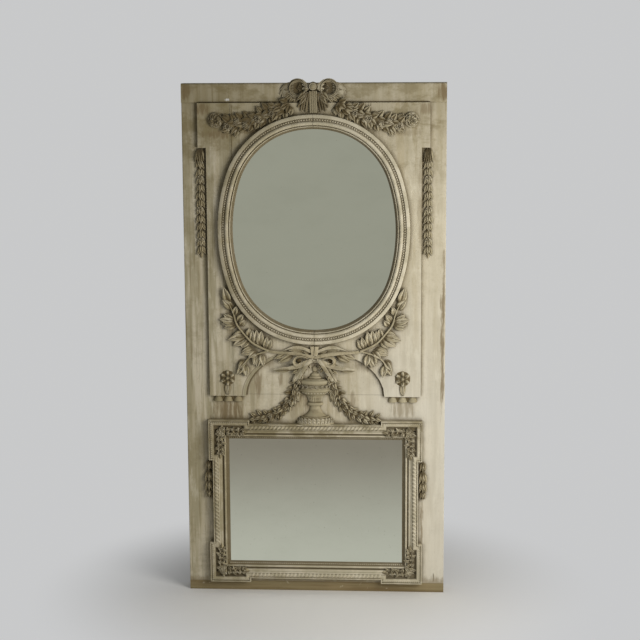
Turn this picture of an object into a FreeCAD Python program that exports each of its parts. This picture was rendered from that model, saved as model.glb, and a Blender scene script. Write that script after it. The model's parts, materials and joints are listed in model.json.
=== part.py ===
import FreeCAD, Part
import math
import os

# Trumeau mirror. Millimetres, +Z up, front towards -Y, origin at the centre of the sill's underside.

# Carcass
WIDTH = 1120
HEIGHT = 2220
SILL_HEIGHT = 42
SILL_DEPTH = 90
FRONT = -46  # front face of the stiles
BOARD = 27
BACK = SILL_DEPTH / 2
STILE_WIDTH = 130
TOP_RAIL_Z = 2138
TOP_RAIL_PROUD = 6
GROUND_SEAM_Z = 885
MID_RAIL_TOP = 1130
APRON_BOTTOM = 694
FOOT_RAIL_TOP = 124
HEAD_TONGUE_Z = 2050
SHRINK_GAP = 1.0  # open joint between old boards
GROUND_LAP = 20  # how far the mid rail reaches in under the oval moulding
ARRIS = 3  # worn outer edge of the stiles
SILL_ARRIS = 2

# Back of the carcass
BACK_BOARD = 12
BACK_JOINT = 190  # joints between the three back boards
BACK_INSET = 5
POST_WIDTH = 70
RAIL_HEIGHT = 60
MIDDLE_RAIL_Z = 800
PLATE = 3
EYE_RADIUS = 6
EYE_Z = HEIGHT - 115
EYE_X = (WIDTH - POST_WIDTH) / 2

# Raised panel
PANEL = 18
PANEL_HALF = 456
EAR_HALF = 491
EAR_BOTTOM = 1950
PANEL_BOTTOM = 880
ARCH_HALF = 300
ARCH_RISE = 204
LEFT_SEAM = -353
RIGHT_SEAM = 232

# Oval: each quarter is three tangent arcs, a long side, a tight shoulder and a crown
OVAL_Z = 1600
OVAL_HALF_WIDTH = 347
SIDE_RADIUS = 686
SIDE_ANGLE = 17.75
SHOULDER_RADIUS = 313
SHOULDER_ANGLE = 80.0
OVAL_MOULDING = 62
GLASS = 4
GLASS_LAP = 6
BACKING = 10  # board behind each glass
OPENING_CLEAR = 9

# Lower mirror frame
FRAME_HALF = 447
FRAME_BOTTOM = 63
FRAME_TOP = 757
FRAME_MOULDING = 70
EAR_STEP = 17
EAR_LENGTH = 178
OUTER_BAND = 25

# Ornament
URN_DEPTH = 0.62  # the urn stands out by this share of its radius
URN_HANDLE_X = 58
ROSE_X = 413
ROSE_Z = 2066
SMALL_ROSE_X = 378
SMALL_ROSE_Z = 957
DROP_X = 484
HUSK_X = 467
GUTTA_PITCH = 43

PANEL_FRONT = FRONT - PANEL
PARTS = {}


def vec(x, y, z):
    return FreeCAD.Vector(x, y, z)


def box(x0, x1, y0, y1, z0, z1):
    return Part.makeBox(x1 - x0, y1 - y0, z1 - z0, vec(x0, y0, z0))


def mirrored(shape):
    return shape.mirror(vec(0, 0, 0), vec(1, 0, 0))


def polygon_face(points):
    return Part.Face(Part.makePolygon(points + [points[0]]))


def plate(outline, back, proud):
    """Flat plate with an outline in x and z, from y = back forwards by proud."""
    return polygon_face([vec(x, back, z) for x, z in outline]).extrude(vec(0, -proud, 0))


def fused(shapes):
    if len(shapes) == 1:
        return shapes[0]
    return shapes[0].fuse(shapes[1:]).removeSplitter()


def main_solid(shape):
    """The largest solid of a cut shape, without the crumbs that scribing leaves."""
    return max(shape.Solids, key=lambda s: s.Volume)


def scribed(shape, neighbours):
    """Carved piece trimmed to sit against its neighbours."""
    return main_solid(shape.cut(list(neighbours)))


def keep(name, shape):
    PARTS[name] = shape


# ---------------------------------------------------------------- oval geometry


def oval_arcs():
    """Centre, radius, start and end angle of the three arcs of the upper right quarter."""
    side = math.radians(SIDE_ANGLE)
    shoulder = math.radians(SHOULDER_ANGLE)
    x1 = OVAL_HALF_WIDTH - SIDE_RADIUS
    x2 = x1 + (SIDE_RADIUS - SHOULDER_RADIUS) * math.cos(side)
    z2 = (SIDE_RADIUS - SHOULDER_RADIUS) * math.sin(side)
    crown_radius = SHOULDER_RADIUS + x2 / math.cos(shoulder)
    z3 = z2 - x2 * math.tan(shoulder)
    return [
        (x1, 0, SIDE_RADIUS, 0, side),
        (x2, z2, SHOULDER_RADIUS, side, shoulder),
        (0, z3, crown_radius, shoulder, math.pi / 2),
    ]


def arc_point(cx, cz, radius, angle, y):
    return vec(cx + radius * math.cos(angle), y, OVAL_Z + cz + radius * math.sin(angle))


def oval_wire(offset, y):
    """The sight line of the oval, moved outwards by offset, at depth y."""
    edges = []
    for cx, cz, radius, start, end in oval_arcs():
        points = [arc_point(cx, cz, radius + offset, a, y) for a in (start, (start + end) / 2, end)]
        edges.append(Part.Arc(*points).toShape())
    right = edges + [e.mirror(vec(0, 0, OVAL_Z), vec(0, 0, 1)) for e in edges]
    both = right + [mirrored(e) for e in right]
    return Part.Wire(Part.__sortEdges__(both))


def oval_plate(offset, front, thickness):
    return Part.Face(oval_wire(offset, front)).extrude(vec(0, thickness, 0))


def oval_profile():
    """Moulding section: distance outwards from the sight line, and height above the panel."""
    return [
        (0, 0), (6, 17), (15, 16), (22, 28), (34, 28), (41, 14), (53, 14), (53, 25),
        (OVAL_MOULDING, 25), (OVAL_MOULDING, 0),
    ]


def oval_frame_half():
    """Right half of the oval moulding, its section turned about the centre of each arc."""
    sectors = []
    for cx, cz, radius, start, end in oval_arcs():
        section = [arc_point(cx, cz, radius + outwards, start, PANEL_FRONT - height)
                   for outwards, height in oval_profile()]
        centre = vec(cx, 0, OVAL_Z + cz)
        sweep = math.degrees(end - start)
        sectors.append(polygon_face(section).revolve(centre, vec(0, -1, 0), sweep))
    lower = [s.mirror(vec(0, 0, OVAL_Z), vec(0, 0, 1)) for s in sectors]
    half = fused(sectors + lower)
    return half.cut(box(-1, SHRINK_GAP / 2, 2 * PANEL_FRONT, 0, 0, HEIGHT))


# ---------------------------------------------------------------- carcass


def carcass():
    left = -WIDTH / 2
    right = WIDTH / 2
    inner = right - STILE_WIDTH
    rear = FRONT + BOARD
    sill = box(left, right, -SILL_DEPTH / 2, BACK, 0, SILL_HEIGHT)
    keep("sill", sill.makeFillet(SILL_ARRIS, [e for e in sill.Edges if abs(e.CenterOfMass.y) > BACK - 1
                                              and abs(e.CenterOfMass.x) < 1 and e.CenterOfMass.z > 1]))
    stile = box(inner, right, FRONT, rear, SILL_HEIGHT, TOP_RAIL_Z)
    outer_edges = [e for e in stile.Edges if e.CenterOfMass.x > right - 1 and e.CenterOfMass.y < FRONT + 1]
    stile = stile.makeFillet(ARRIS, outer_edges)
    keep("right_stile", stile)
    keep("left_stile", mirrored(stile))
    keep("top_rail", top_rail(rear))
    opening = oval_plate(OVAL_MOULDING - GROUND_LAP, FRONT - 1, BOARD + 2)
    mid = box(-inner, inner, FRONT, rear, GROUND_SEAM_Z + SHRINK_GAP / 2, MID_RAIL_TOP).cut(opening)
    keep("mid_ground_rail", mid)
    keep("apron_rail", box(-inner, inner, FRONT, rear, APRON_BOTTOM, GROUND_SEAM_Z - SHRINK_GAP / 2))
    keep("foot_rail", box(-inner, inner, FRONT, rear, SILL_HEIGHT, FOOT_RAIL_TOP))


def top_rail(rear):
    """Pillowed top band with a tongue that runs down behind the raised panel."""
    top = HEIGHT
    bottom = TOP_RAIL_Z
    proud = FRONT - TOP_RAIL_PROUD
    round_over = 9
    bulge = round_over * (1 - math.sqrt(0.5))
    section = [
        Part.makeLine(vec(0, rear, bottom), vec(0, rear, top)),
        Part.makeLine(vec(0, rear, top), vec(0, proud + round_over, top)),
        Part.Arc(vec(0, proud + round_over, top), vec(0, proud + bulge, top - bulge),
                 vec(0, proud, top - round_over)).toShape(),
        Part.makeLine(vec(0, proud, top - round_over), vec(0, proud, bottom + round_over)),
        Part.Arc(vec(0, proud, bottom + round_over), vec(0, proud + bulge / 2, bottom + round_over / 3),
                 vec(0, proud + TOP_RAIL_PROUD, bottom)).toShape(),
        Part.makeLine(vec(0, proud + TOP_RAIL_PROUD, bottom), vec(0, rear, bottom)),
    ]
    band = Part.Face(Part.Wire(section)).extrude(vec(WIDTH / 2, 0, 0))
    tongue = box(0, WIDTH / 2 - STILE_WIDTH, FRONT, rear, HEAD_TONGUE_Z, bottom)
    half = fused([band, tongue])
    return fused([half, mirrored(half)])


def back_frame():
    outer = WIDTH / 2
    inner = outer - POST_WIDTH
    front = FRONT + BOARD
    rear = BACK - BACK_BOARD
    post = box(inner, outer, front, rear, SILL_HEIGHT, HEIGHT)
    keep("right_back_post", post)
    keep("left_back_post", mirrored(post))
    levels = {"upper": HEIGHT - RAIL_HEIGHT, "middle": MIDDLE_RAIL_Z, "lower": SILL_HEIGHT}
    for name, z in levels.items():
        keep(name + "_back_rail", box(-inner, inner, front, rear, z, z + RAIL_HEIGHT))
    far = BACK_JOINT + SHRINK_GAP / 2
    near = BACK_JOINT - SHRINK_GAP / 2
    widths = {
        "left": (-outer + BACK_INSET, -far),
        "middle": (-near, near),
        "right": (far, outer - BACK_INSET),
    }
    for name, (x0, x1) in widths.items():
        keep(name + "_back_board", box(x0, x1, rear, BACK, SILL_HEIGHT + BACK_INSET, HEIGHT - BACK_INSET))


def prism(x, z, radius, y0, y1, sides):
    """Straight pin along y with flat sides."""
    return skin([ring_of(x, z, radius, y0, sides, 0.5), ring_of(x, z, radius, y1, sides, 0.5)])


def wall_plates():
    """Two iron eye plates let in flush and nailed to the posts: plates, nails and the pockets they need."""
    half_width = 16
    above_eye = 25
    below_eye = 75
    pocket_radius = EYE_RADIUS + 4
    pocket_depth = 40
    nail_length = 27
    nail_radius = 2.8
    head_radius = 6.5
    plates = []
    nails = []
    pockets = []
    front = BACK - PLATE
    for side in (-1, 1):
        x = side * EYE_X
        body = box(x - half_width, x + half_width, front, BACK, EYE_Z - below_eye, EYE_Z + above_eye)
        pockets.append(body)
        pockets.append(prism(x, EYE_Z, pocket_radius, front - pocket_depth, front, 8))
        eye = Part.makeCylinder(EYE_RADIUS, PLATE, vec(x, front, EYE_Z), vec(0, 1, 0))
        pair = []
        for z in (EYE_Z - 30, EYE_Z - 60):
            shank = prism(x, z, nail_radius, front - nail_length, front, 4)
            pair.append(fused([shank, prism(x, z, head_radius, front, BACK, 4)]))
        plates.append(body.cut([eye] + pair))
        nails += pair
    return plates, nails, pockets


def fixings():
    plates, nails, pockets = wall_plates()
    keep("wall_plates", Part.makeCompound(plates))
    keep("wall_plate_nails", Part.makeCompound(nails))
    for name in ("left_back_board", "right_back_board", "left_back_post", "right_back_post"):
        PARTS[name] = PARTS[name].cut(nails + pockets)


# ---------------------------------------------------------------- raised panel


def panel_outline():
    """Eared at the top, cut by an arch at the foot."""
    arch = [(ARCH_HALF * math.cos(math.radians(a)), PANEL_BOTTOM + ARCH_RISE * math.sin(math.radians(a)))
            for a in range(0, 181, 10)]
    right = [(EAR_HALF, TOP_RAIL_Z), (EAR_HALF, EAR_BOTTOM),
             (PANEL_HALF, EAR_BOTTOM), (PANEL_HALF, PANEL_BOTTOM)]
    left = [(-x, z) for x, z in reversed(right)]
    return left + right + arch


def raised_panel():
    """Four boards with open joints, cut round the oval."""
    sheet = plate(panel_outline(), FRONT, PANEL)
    sheet = sheet.cut(oval_plate(OPENING_CLEAR, PANEL_FRONT - 1, PANEL + 2))
    gap = SHRINK_GAP / 2
    zones = {
        "left_panel_board": (-EAR_HALF, LEFT_SEAM - gap, PANEL_BOTTOM, HEIGHT),
        "right_panel_board": (RIGHT_SEAM + gap, EAR_HALF, PANEL_BOTTOM, HEIGHT),
        "head_panel_board": (LEFT_SEAM + gap, RIGHT_SEAM - gap, OVAL_Z, HEIGHT),
        "foot_panel_board": (LEFT_SEAM + gap, RIGHT_SEAM - gap, PANEL_BOTTOM, OVAL_Z),
    }
    for name, (x0, x1, z0, z1) in zones.items():
        keep(name, main_solid(sheet.common(box(x0, x1, PANEL_FRONT - 1, FRONT + 1, z0, z1))))


# ---------------------------------------------------------------- lower mirror frame


def rectangle_at(grow, y):
    """Corner points of the sight rectangle grown by grow, at depth y."""
    half = FRAME_HALF - FRAME_MOULDING + grow
    low = FRAME_BOTTOM + FRAME_MOULDING - grow
    high = FRAME_TOP - FRAME_MOULDING + grow
    return [vec(x, y, z) for x, z in ((-half, low), (half, low), (half, high), (-half, high))]


def eared_at(inset, y):
    """Corner points of the eared outline moved inwards by inset, at depth y."""
    run = FRAME_HALF - inset
    ear = run + EAR_STEP
    near = FRAME_HALF + EAR_STEP - EAR_LENGTH + inset
    low = FRAME_BOTTOM + inset
    high = FRAME_TOP - inset
    low_near = FRAME_BOTTOM - EAR_STEP + EAR_LENGTH - inset
    high_near = FRAME_TOP + EAR_STEP - EAR_LENGTH + inset
    right = [(near, low), (near, low - EAR_STEP), (ear, low - EAR_STEP), (ear, low_near),
             (run, low_near), (run, high_near),
             (ear, high_near), (ear, high + EAR_STEP), (near, high + EAR_STEP), (near, high)]
    left = [(-x, z) for x, z in reversed(right)]
    return [vec(x, y, z) for x, z in right + left]


def ring_loft(section, outline):
    """Closed moulding: the section's points become outlines, joined by flat mitred bands."""
    rings = [outline(across, FRONT - height) for across, height in section]
    faces = []
    for first, second in zip(rings, rings[1:] + rings[:1]):
        for k in range(len(first)):
            faces += facets([first[k - 1], first[k], second[k], second[k - 1]])
    solid = Part.makeSolid(Part.makeShell(faces))
    if solid.Volume < 0:
        solid.reverse()
    return solid


def inner_band():
    """Sight slope, bead, quirk and cove, measured outwards from the glass."""
    return [
        (0, 0), (0, 3), (9, 15), (13, 21), (17.5, 21), (20, 16), (23, 20), (34, 23), (44, 31),
        (FRAME_MOULDING - OUTER_BAND, 31), (FRAME_MOULDING - OUTER_BAND, 0),
    ]


def outer_band():
    """Outer fillet and the half-round that carries the rope, measured inwards from the edge."""
    return [
        (0, 0), (0, 36), (6, 37), (8, 32), (12, 37.5), (19, 38), (OUTER_BAND, 31), (OUTER_BAND, 0),
    ]


def lower_frame():
    """Four eared rails, mitred at the corners; the ears hold a sunk field for the acanthus."""
    bands = [ring_loft(inner_band(), rectangle_at), ring_loft(outer_band(), eared_at)]
    field = 22
    lap = OUTER_BAND - 1
    far = FRAME_HALF + EAR_STEP - lap
    near = FRAME_HALF + EAR_STEP - EAR_LENGTH + lap
    inside = FRAME_HALF - OUTER_BAND
    low = FRAME_BOTTOM - EAR_STEP + lap
    reach = EAR_LENGTH - lap
    top = FRAME_TOP + EAR_STEP - lap
    pads = []
    for x0, x1 in ((near, far), (-far, -near)):
        pads.append(box(x0, x1, FRONT - field, FRONT, low, FRAME_BOTTOM + OUTER_BAND))
        pads.append(box(x0, x1, FRONT - field, FRONT, FRAME_TOP - OUTER_BAND, top))
    for x0, x1 in ((inside, far), (-far, -inside)):
        pads.append(box(x0, x1, FRONT - field, FRONT, low, low + reach))
        pads.append(box(x0, x1, FRONT - field, FRONT, top - reach, top))
    whole = fused(bands + pads)
    middle = (FRAME_BOTTOM + FRAME_TOP) / 2
    half_high = (FRAME_TOP - FRAME_BOTTOM) / 2
    lean = FRAME_HALF - half_high
    beyond = WIDTH / 2
    corner = (lean + beyond, middle + beyond)
    side_wedge = [(lean, middle), corner, (lean + beyond, middle - beyond)]
    top_wedge = [(-lean, middle), (-lean - beyond, middle + beyond), corner, (lean, middle)]
    side_rail = main_solid(whole.common(plate(side_wedge, 0, -2 * FRONT)))
    top_rail_part = main_solid(whole.common(plate(top_wedge, 0, -2 * FRONT)))
    keep("frame_right_rail", side_rail)
    keep("frame_left_rail", mirrored(side_rail))
    keep("frame_top_rail", top_rail_part)
    keep("frame_bottom_rail", top_rail_part.mirror(vec(0, 0, middle), vec(0, 0, 1)))


# ---------------------------------------------------------------- glass


def block(x, z, width, height, front, rear):
    """Small softwood block centred on x and z."""
    return box(x - width / 2, x + width / 2, front, rear, z - height / 2, z + height / 2)


def glazing():
    """Both glasses, the boards behind them, and the blocks that hold them."""
    keep("oval_glass", oval_plate(GLASS_LAP, PANEL_FRONT, GLASS))
    half = OVAL_HALF_WIDTH + 48
    keep("oval_backing", box(-half, half, FRONT, FRONT + BACKING, OVAL_Z - 462, OVAL_Z + 445))
    half = FRAME_HALF - FRAME_MOULDING + GLASS_LAP
    low = FRAME_BOTTOM + FRAME_MOULDING - GLASS_LAP
    high = FRAME_TOP - FRAME_MOULDING + GLASS_LAP
    block_front = FRONT + GLASS + BACKING
    keep("lower_glass", box(-half, half, FRONT, FRONT + GLASS, low, high))
    keep("lower_backing", box(-half, half, FRONT + GLASS, block_front, low, high))
    blocks = []
    glass_back = PANEL_FRONT + GLASS
    for x in (-250, 0, 250):
        for z in (low + 14, high - 14):
            blocks.append(block(x, z, 60, 24, block_front, FRONT + BOARD - 2))
    for side in (-1, 1):
        for end in (-1, 1):
            blocks.append(block(side * 100, OVAL_Z + end * 395, 50, 20, glass_back, FRONT))
            blocks.append(block(side * 316, OVAL_Z + end * 145, 20, 50, glass_back, FRONT))
    keep("glazing_blocks", Part.makeCompound(blocks))


# ---------------------------------------------------------------- carved ornament


def facets(corners):
    """One face through the corners, or two triangles where four corners aren't in one plane."""
    corners = [c for i, c in enumerate(corners) if (c - corners[i - 1]).Length > 1e-6]
    if len(corners) == 4:
        normal = (corners[1] - corners[0]).cross(corners[2] - corners[0]).normalize()
        if abs(normal.dot(corners[3] - corners[0])) > 1e-7:
            return [polygon_face(corners[:3]), polygon_face([corners[0]] + corners[2:])]
    return [polygon_face(corners)]


def skin(rings):
    """Closed faceted solid over a row of rings of points; a ring of one point is a tip."""
    faces = []
    for low, high in zip(rings, rings[1:]):
        for k in range(max(len(low), len(high))):
            below = [low[k % len(low)], low[(k + 1) % len(low)]]
            above = [high[(k + 1) % len(high)], high[k % len(high)]]
            faces += facets(below + above)
    faces += [polygon_face(ring) for ring in (rings[0], rings[-1]) if len(ring) > 2]
    solid = Part.makeSolid(Part.makeShell(faces))
    if solid.Volume < 0:
        solid.reverse()
    return solid


def ridge(x, z, ux, uz, width, back, rise):
    """Three-sided section across the direction (ux, uz): flat on the ground, with a ridge."""
    half = width / 2
    return [vec(x - uz * half, back, z + ux * half), vec(x, back - rise, z),
            vec(x + uz * half, back, z - ux * half)]


def leaf(base, tip, width, back, rise):
    """Leaf pointed at both ends, with a ridge, widest below its middle, flat on the plane y = back."""
    x0, z0 = base
    length = math.hypot(tip[0] - x0, tip[1] - z0)
    ux, uz = (tip[0] - x0) / length, (tip[1] - z0) / length
    widest = 0.4 * length
    middle = ridge(x0 + ux * widest, z0 + uz * widest, ux, uz, width, back, rise)
    return skin([[vec(x0, back, z0)], middle, [vec(tip[0], back, tip[1])]])


def stem(points, width, back, rise):
    """Three-sided stem along a line of points, its ends tapered."""
    rings = []
    last = len(points) - 1
    for i, (x, z) in enumerate(points):
        before = points[max(i - 1, 0)]
        after = points[min(i + 1, last)]
        size = math.dist(before, after)
        ux, uz = (after[0] - before[0]) / size, (after[1] - before[1]) / size
        taper = 0.6 if i in (0, last) else 1.0
        rings.append(ridge(x, z, ux, uz, width * taper, back, rise * taper))
    return skin(rings)


def ring_of(x, z, radius, y, sides, turn=0.0):
    points = []
    for k in range(sides):
        a = 2 * math.pi * (k + turn) / sides
        points.append(vec(x + radius * math.cos(a), y, z + radius * math.sin(a)))
    return points


def bud(x, z, radius, back, rise, sides=5):
    """Low faceted dome: a berry, a bud or the heart of a flower."""
    return skin([ring_of(x, z, radius, back, sides), ring_of(x, z, radius * 0.6, back - rise, sides)])


def along(points, t):
    """Point and direction at the share t of a line of points."""
    spans = [math.dist(a, b) for a, b in zip(points, points[1:])]
    want = t * sum(spans)
    for a, b, span in zip(points, points[1:], spans):
        if want <= span or b == points[-1]:
            k = min(want / span, 1.0)
            return a[0] + (b[0] - a[0]) * k, a[1] + (b[1] - a[1]) * k, math.atan2(b[1] - a[1], b[0] - a[0])
        want -= span


def swag(points, stations, leaf_length, leaf_width, back, rise, buds=()):
    """Swag of overlapping leaves, three at each station, with flowers set among them."""
    splay = 0.75
    pieces = [stem(points, leaf_width * 1.2, back, rise * 0.7)]
    for i in range(stations):
        x, z, heading = along(points, (i + 0.2) / stations)
        for turn, scale, high in ((-splay, 0.9, 0.8), (0.0, 1.1, 1.0), (splay, 0.9, 0.8)):
            a = heading + turn
            tip = (x + leaf_length * scale * math.cos(a), z + leaf_length * scale * math.sin(a))
            pieces.append(leaf((x, z), tip, leaf_width, back, rise * high))
    for x, z, radius in buds:
        pieces.append(bud(x, z, radius, back, rise * 1.15))
    return main_solid(fused(pieces))


def rosette(x, z, radius, back, rise, petals):
    """Rose: a low boss, a ring of petals and a heart."""
    pieces = [bud(x, z, radius * 0.72, back, rise * 0.45, 10)]
    for k in range(petals):
        a = 2 * math.pi * (k + 0.25) / petals
        base = (x + radius * 0.12 * math.cos(a), z + radius * 0.12 * math.sin(a))
        tip = (x + radius * math.cos(a), z + radius * math.sin(a))
        pieces.append(petal(base, tip, radius * 0.86, back, rise))
    pieces.append(bud(x, z, radius * 0.3, back, rise * 1.1, 8))
    return main_solid(fused(pieces))


def small_rosette():
    """Rose at the foot of the panel, with a leaf that hangs from it."""
    x = SMALL_ROSE_X
    rose = rosette(x, SMALL_ROSE_Z, 34, PANEL_FRONT, 20, 5)
    hanging = leaf((x, SMALL_ROSE_Z - 12), (x, PANEL_BOTTOM + 4), 28, PANEL_FRONT, 14)
    return main_solid(fused([rose, hanging]))


def petal(base, tip, width, back, rise):
    """Blunt petal that rises outwards from the heart of the rose and drops at its rim."""
    x0, z0 = base
    length = math.hypot(tip[0] - x0, tip[1] - z0)
    ux, uz = (tip[0] - x0) / length, (tip[1] - z0) / length
    rings = []
    for share, wide, high in ((0.0, 0.3, 0.4), (0.72, 1.0, 0.9), (1.0, 0.55, 0.35)):
        x = x0 + ux * length * share
        z = z0 + uz * length * share
        corners = []
        for across, lift in ((-0.5, 0.0), (-0.34, high), (0.34, high), (0.5, 0.0)):
            half = width * wide * across
            corners.append(vec(x - uz * half, back - rise * lift, z + ux * half))
        rings.append(corners)
    return skin(rings)


def laurel_branch():
    """Branch from the arch flower up the outside of the oval, with a sprig that turns down."""
    back = PANEL_FRONT
    rise = 17
    main = [(196, 1080), (258, 1104), (300, 1150), (338, 1198), (346, 1246), (370, 1292)]
    sprig = [(200, 1080), (262, 1064), (298, 1038), (314, 1006)]
    leaves = [
        ((366, 1282), (386, 1361), 20), ((352, 1262), (394, 1306), 15), ((345, 1235), (326, 1276), 16),
        ((344, 1212), (392, 1243), 15), ((342, 1206), (408, 1219), 17), ((340, 1200), (403, 1197), 15),
        ((338, 1196), (392, 1181), 15), ((332, 1205), (306, 1246), 17), ((322, 1190), (300, 1216), 13),
        ((300, 1158), (354, 1148), 18), ((296, 1148), (370, 1124), 21), ((290, 1138), (350, 1103), 20),
        ((282, 1128), (322, 1094), 18), ((288, 1142), (280, 1182), 15), ((266, 1112), (266, 1172), 17),
        ((254, 1106), (246, 1174), 18), ((240, 1100), (226, 1166), 18), ((262, 1092), (320, 1077), 17),
        ((256, 1086), (314, 1058), 17), ((250, 1080), (288, 1050), 14), ((216, 1090), (200, 1146), 17),
        ((208, 1088), (184, 1136), 16), ((300, 1040), (336, 1000), 14), ((308, 1016), (329, 970), 15),
        ((304, 1022), (300, 968), 16), ((248, 1064), (264, 1016), 15), ((240, 1066), (242, 1008), 17),
        ((232, 1068), (216, 1014), 15),
    ]
    pieces = [stem(main, 15, back, 13), stem(sprig, 13, back, 12)]
    pieces += [leaf(base, tip, width, back, rise) for base, tip, width in leaves]
    return main_solid(fused(pieces))


def upper_garland():
    points = [(372, 2046), (325, 2044), (262, 2066), (194, 2089), (128, 2112), (98, 2130)]
    buds = ((346, 2032, 17), (300, 2052, 18), (248, 2076, 16),
            (204, 2080, 13), (158, 2106, 14), (120, 2122, 12))
    return swag(points, 5, 50, 26, PANEL_FRONT, 17, buds)


def festoon():
    """Lower swag from the urn's handle down to the frame, with the pendant that hangs beside it."""
    points = [(72, 944), (90, 894), (120, 841), (157, 806), (207, 782), (270, 771)]
    buds = ((126, 838, 12), (168, 802, 13), (222, 782, 13), (262, 776, 11))
    swag_piece = swag(points, 5, 44, 21, FRONT, 18, buds)
    pendant = [leaf((78, 938), (96, 872), 15, FRONT, 14), leaf((88, 900), (90, 834), 17, FRONT, 14),
               leaf((86, 930), (82, 880), 12, FRONT, 12)]
    return main_solid(fused([swag_piece] + pendant))


def long_drop():
    """Garland of husks under the ear of the panel, from a tuft of pointed leaves to a single leaf."""
    top = EAR_BOTTOM - 3
    foot = 1478
    pitch = 49
    rise = 13
    pieces = [stem([(DROP_X, top - 20), (DROP_X, top - 240), (DROP_X, foot + 22)], 11, FRONT, 11)]
    for dx, length in ((-17, 58), (0, 72), (17, 58)):
        pieces.append(leaf((DROP_X + dx * 0.3, top), (DROP_X + dx, top - length), 19, FRONT, rise + 2))
    for k in range(8):
        z = top - 62 - pitch * k
        for side in (-1, 1):
            pieces.append(leaf((DROP_X, z), (DROP_X + side * 23, z - 36), 20, FRONT, rise))
    pieces.append(leaf((DROP_X, foot + 29), (DROP_X, foot), 18, FRONT, rise))
    return main_solid(fused(pieces))


def short_drop():
    """Three husks beside the lower mirror, under the ear of its frame."""
    top = FRAME_TOP + EAR_STEP - EAR_LENGTH - 4
    pitch = 58
    shrink = 0.13
    pieces = [stem([(HUSK_X, top - 10), (HUSK_X, top - 90), (HUSK_X, top - 150)], 9, FRONT, 9)]
    for k in range(3):
        z = top - pitch * k
        size = 1.0 - shrink * k
        for side in (-1, 1):
            tip = (HUSK_X + side * 17 * size, z - 46 * size)
            pieces.append(leaf((HUSK_X, z), tip, 17 * size, FRONT, 13))
        pieces.append(leaf((HUSK_X, z - 4), (HUSK_X, z - 66 * size), 15 * size, FRONT, 15))
    return main_solid(fused(pieces))


def acanthus_corner():
    """Leaf that fills the ear of the lower frame at its upper right corner, one arm along each rail."""
    back = FRONT - 20
    x1 = FRAME_HALF + EAR_STEP - OUTER_BAND - 2
    z1 = FRAME_TOP + EAR_STEP - OUTER_BAND - 2
    mid_x = x1 - 22
    mid_z = z1 - 22
    arm = 122
    pitch = 32
    pieces = [
        stem([(mid_x + 4, mid_z + 4), (mid_x - 60, mid_z), (mid_x - arm + 20, mid_z)], 16, back, 16),
        stem([(mid_x + 4, mid_z + 4), (mid_x, mid_z - 60), (mid_x, mid_z - arm + 20)], 16, back, 16),
        leaf((mid_x - 14, mid_z - 14), (x1, z1), 26, back, 19),
        leaf((mid_x - arm + 40, mid_z), (mid_x - arm, mid_z), 22, back, 15),
        leaf((mid_x, mid_z - arm + 40), (mid_x, mid_z - arm), 22, back, 15),
    ]
    for k in range(3):
        step = 12 + pitch * k
        reach = 21 - 2 * k
        for side in (-1, 1):
            across = (mid_x - step - 16, mid_z + side * reach)
            down = (mid_x + side * reach, mid_z - step - 16)
            pieces.append(leaf((mid_x - step + 8, mid_z), across, 19, back, 14))
            pieces.append(leaf((mid_x, mid_z - step + 8), down, 19, back, 14))
    return main_solid(fused(pieces))


def ribbon(points, width, back, rise, depth):
    """Ribbon band that follows a line of points and narrows to its ends."""
    left = []
    right = []
    last = len(points) - 1
    for i, (x, z) in enumerate(points):
        before = points[max(i - 1, 0)]
        after = points[min(i + 1, last)]
        dx, dz = after[0] - before[0], after[1] - before[1]
        size = math.hypot(dx, dz)
        half = width / 2 * (0.45 if i in (0, last) else 1.0)
        left.append((x - dz / size * half, z + dx / size * half))
        right.append((x + dz / size * half, z - dx / size * half))
    return plate(left + right[::-1], back - rise + depth, depth)


def arch_ribbon():
    """Ribbon tied over the crown of the arch, with two curls, two side tails and two hanging tails."""
    back = PANEL_FRONT + 6
    rise = 22
    half = [
        ribbon([(0, 1060), (34, 1066), (72, 1071), (120, 1069), (168, 1052), (192, 1036)],
               14, back, rise, 14),
        ribbon([(12, 1046), (40, 1030), (70, 1014), (112, 1006), (150, 1003), (180, 994)],
               13, back, rise, 14),
        ribbon([(40, 1036), (56, 1050), (76, 1050), (86, 1034), (76, 1018), (58, 1016)], 10, back, rise, 14),
        ribbon([(46, 1024), (62, 998), (76, 972), (80, 948)], 14, back, rise, 14),
        ribbon([(0, 1078), (30, 1092), (64, 1098), (104, 1090), (128, 1076)], 9, back, rise - 6, 8),
        ribbon([(0, 1096), (0, 1080), (0, 1060)], 16, back, rise - 6, 8),
    ]
    pieces = half + [mirrored(p) for p in half]
    knot = bud(0, 1052, 19, back, rise + 3, 8)
    return fused(pieces + [knot])


def bow_loop():
    """Loop of the bow: a ribbon turned over on itself, hollow in the middle."""
    back = FRONT - TOP_RAIL_PROUD
    sides = 16
    outer = []
    inner = []
    for k in range(sides):
        a = 2 * math.pi * k / sides
        outer.append((66 + 38 * math.cos(a), 2201 + 41 * math.sin(a)))
        inner.append((63 + 19 * math.cos(a), 2194 + 27 * math.sin(a)))
    ring = plate(outer, back, 24).cut(plate(inner, back - 6, 30))
    fold = ribbon([(98, 2208), (118, 2198), (139, 2176), (146, 2158)], 26, back, 14, 14)
    return fused([ring, fold])


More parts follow.
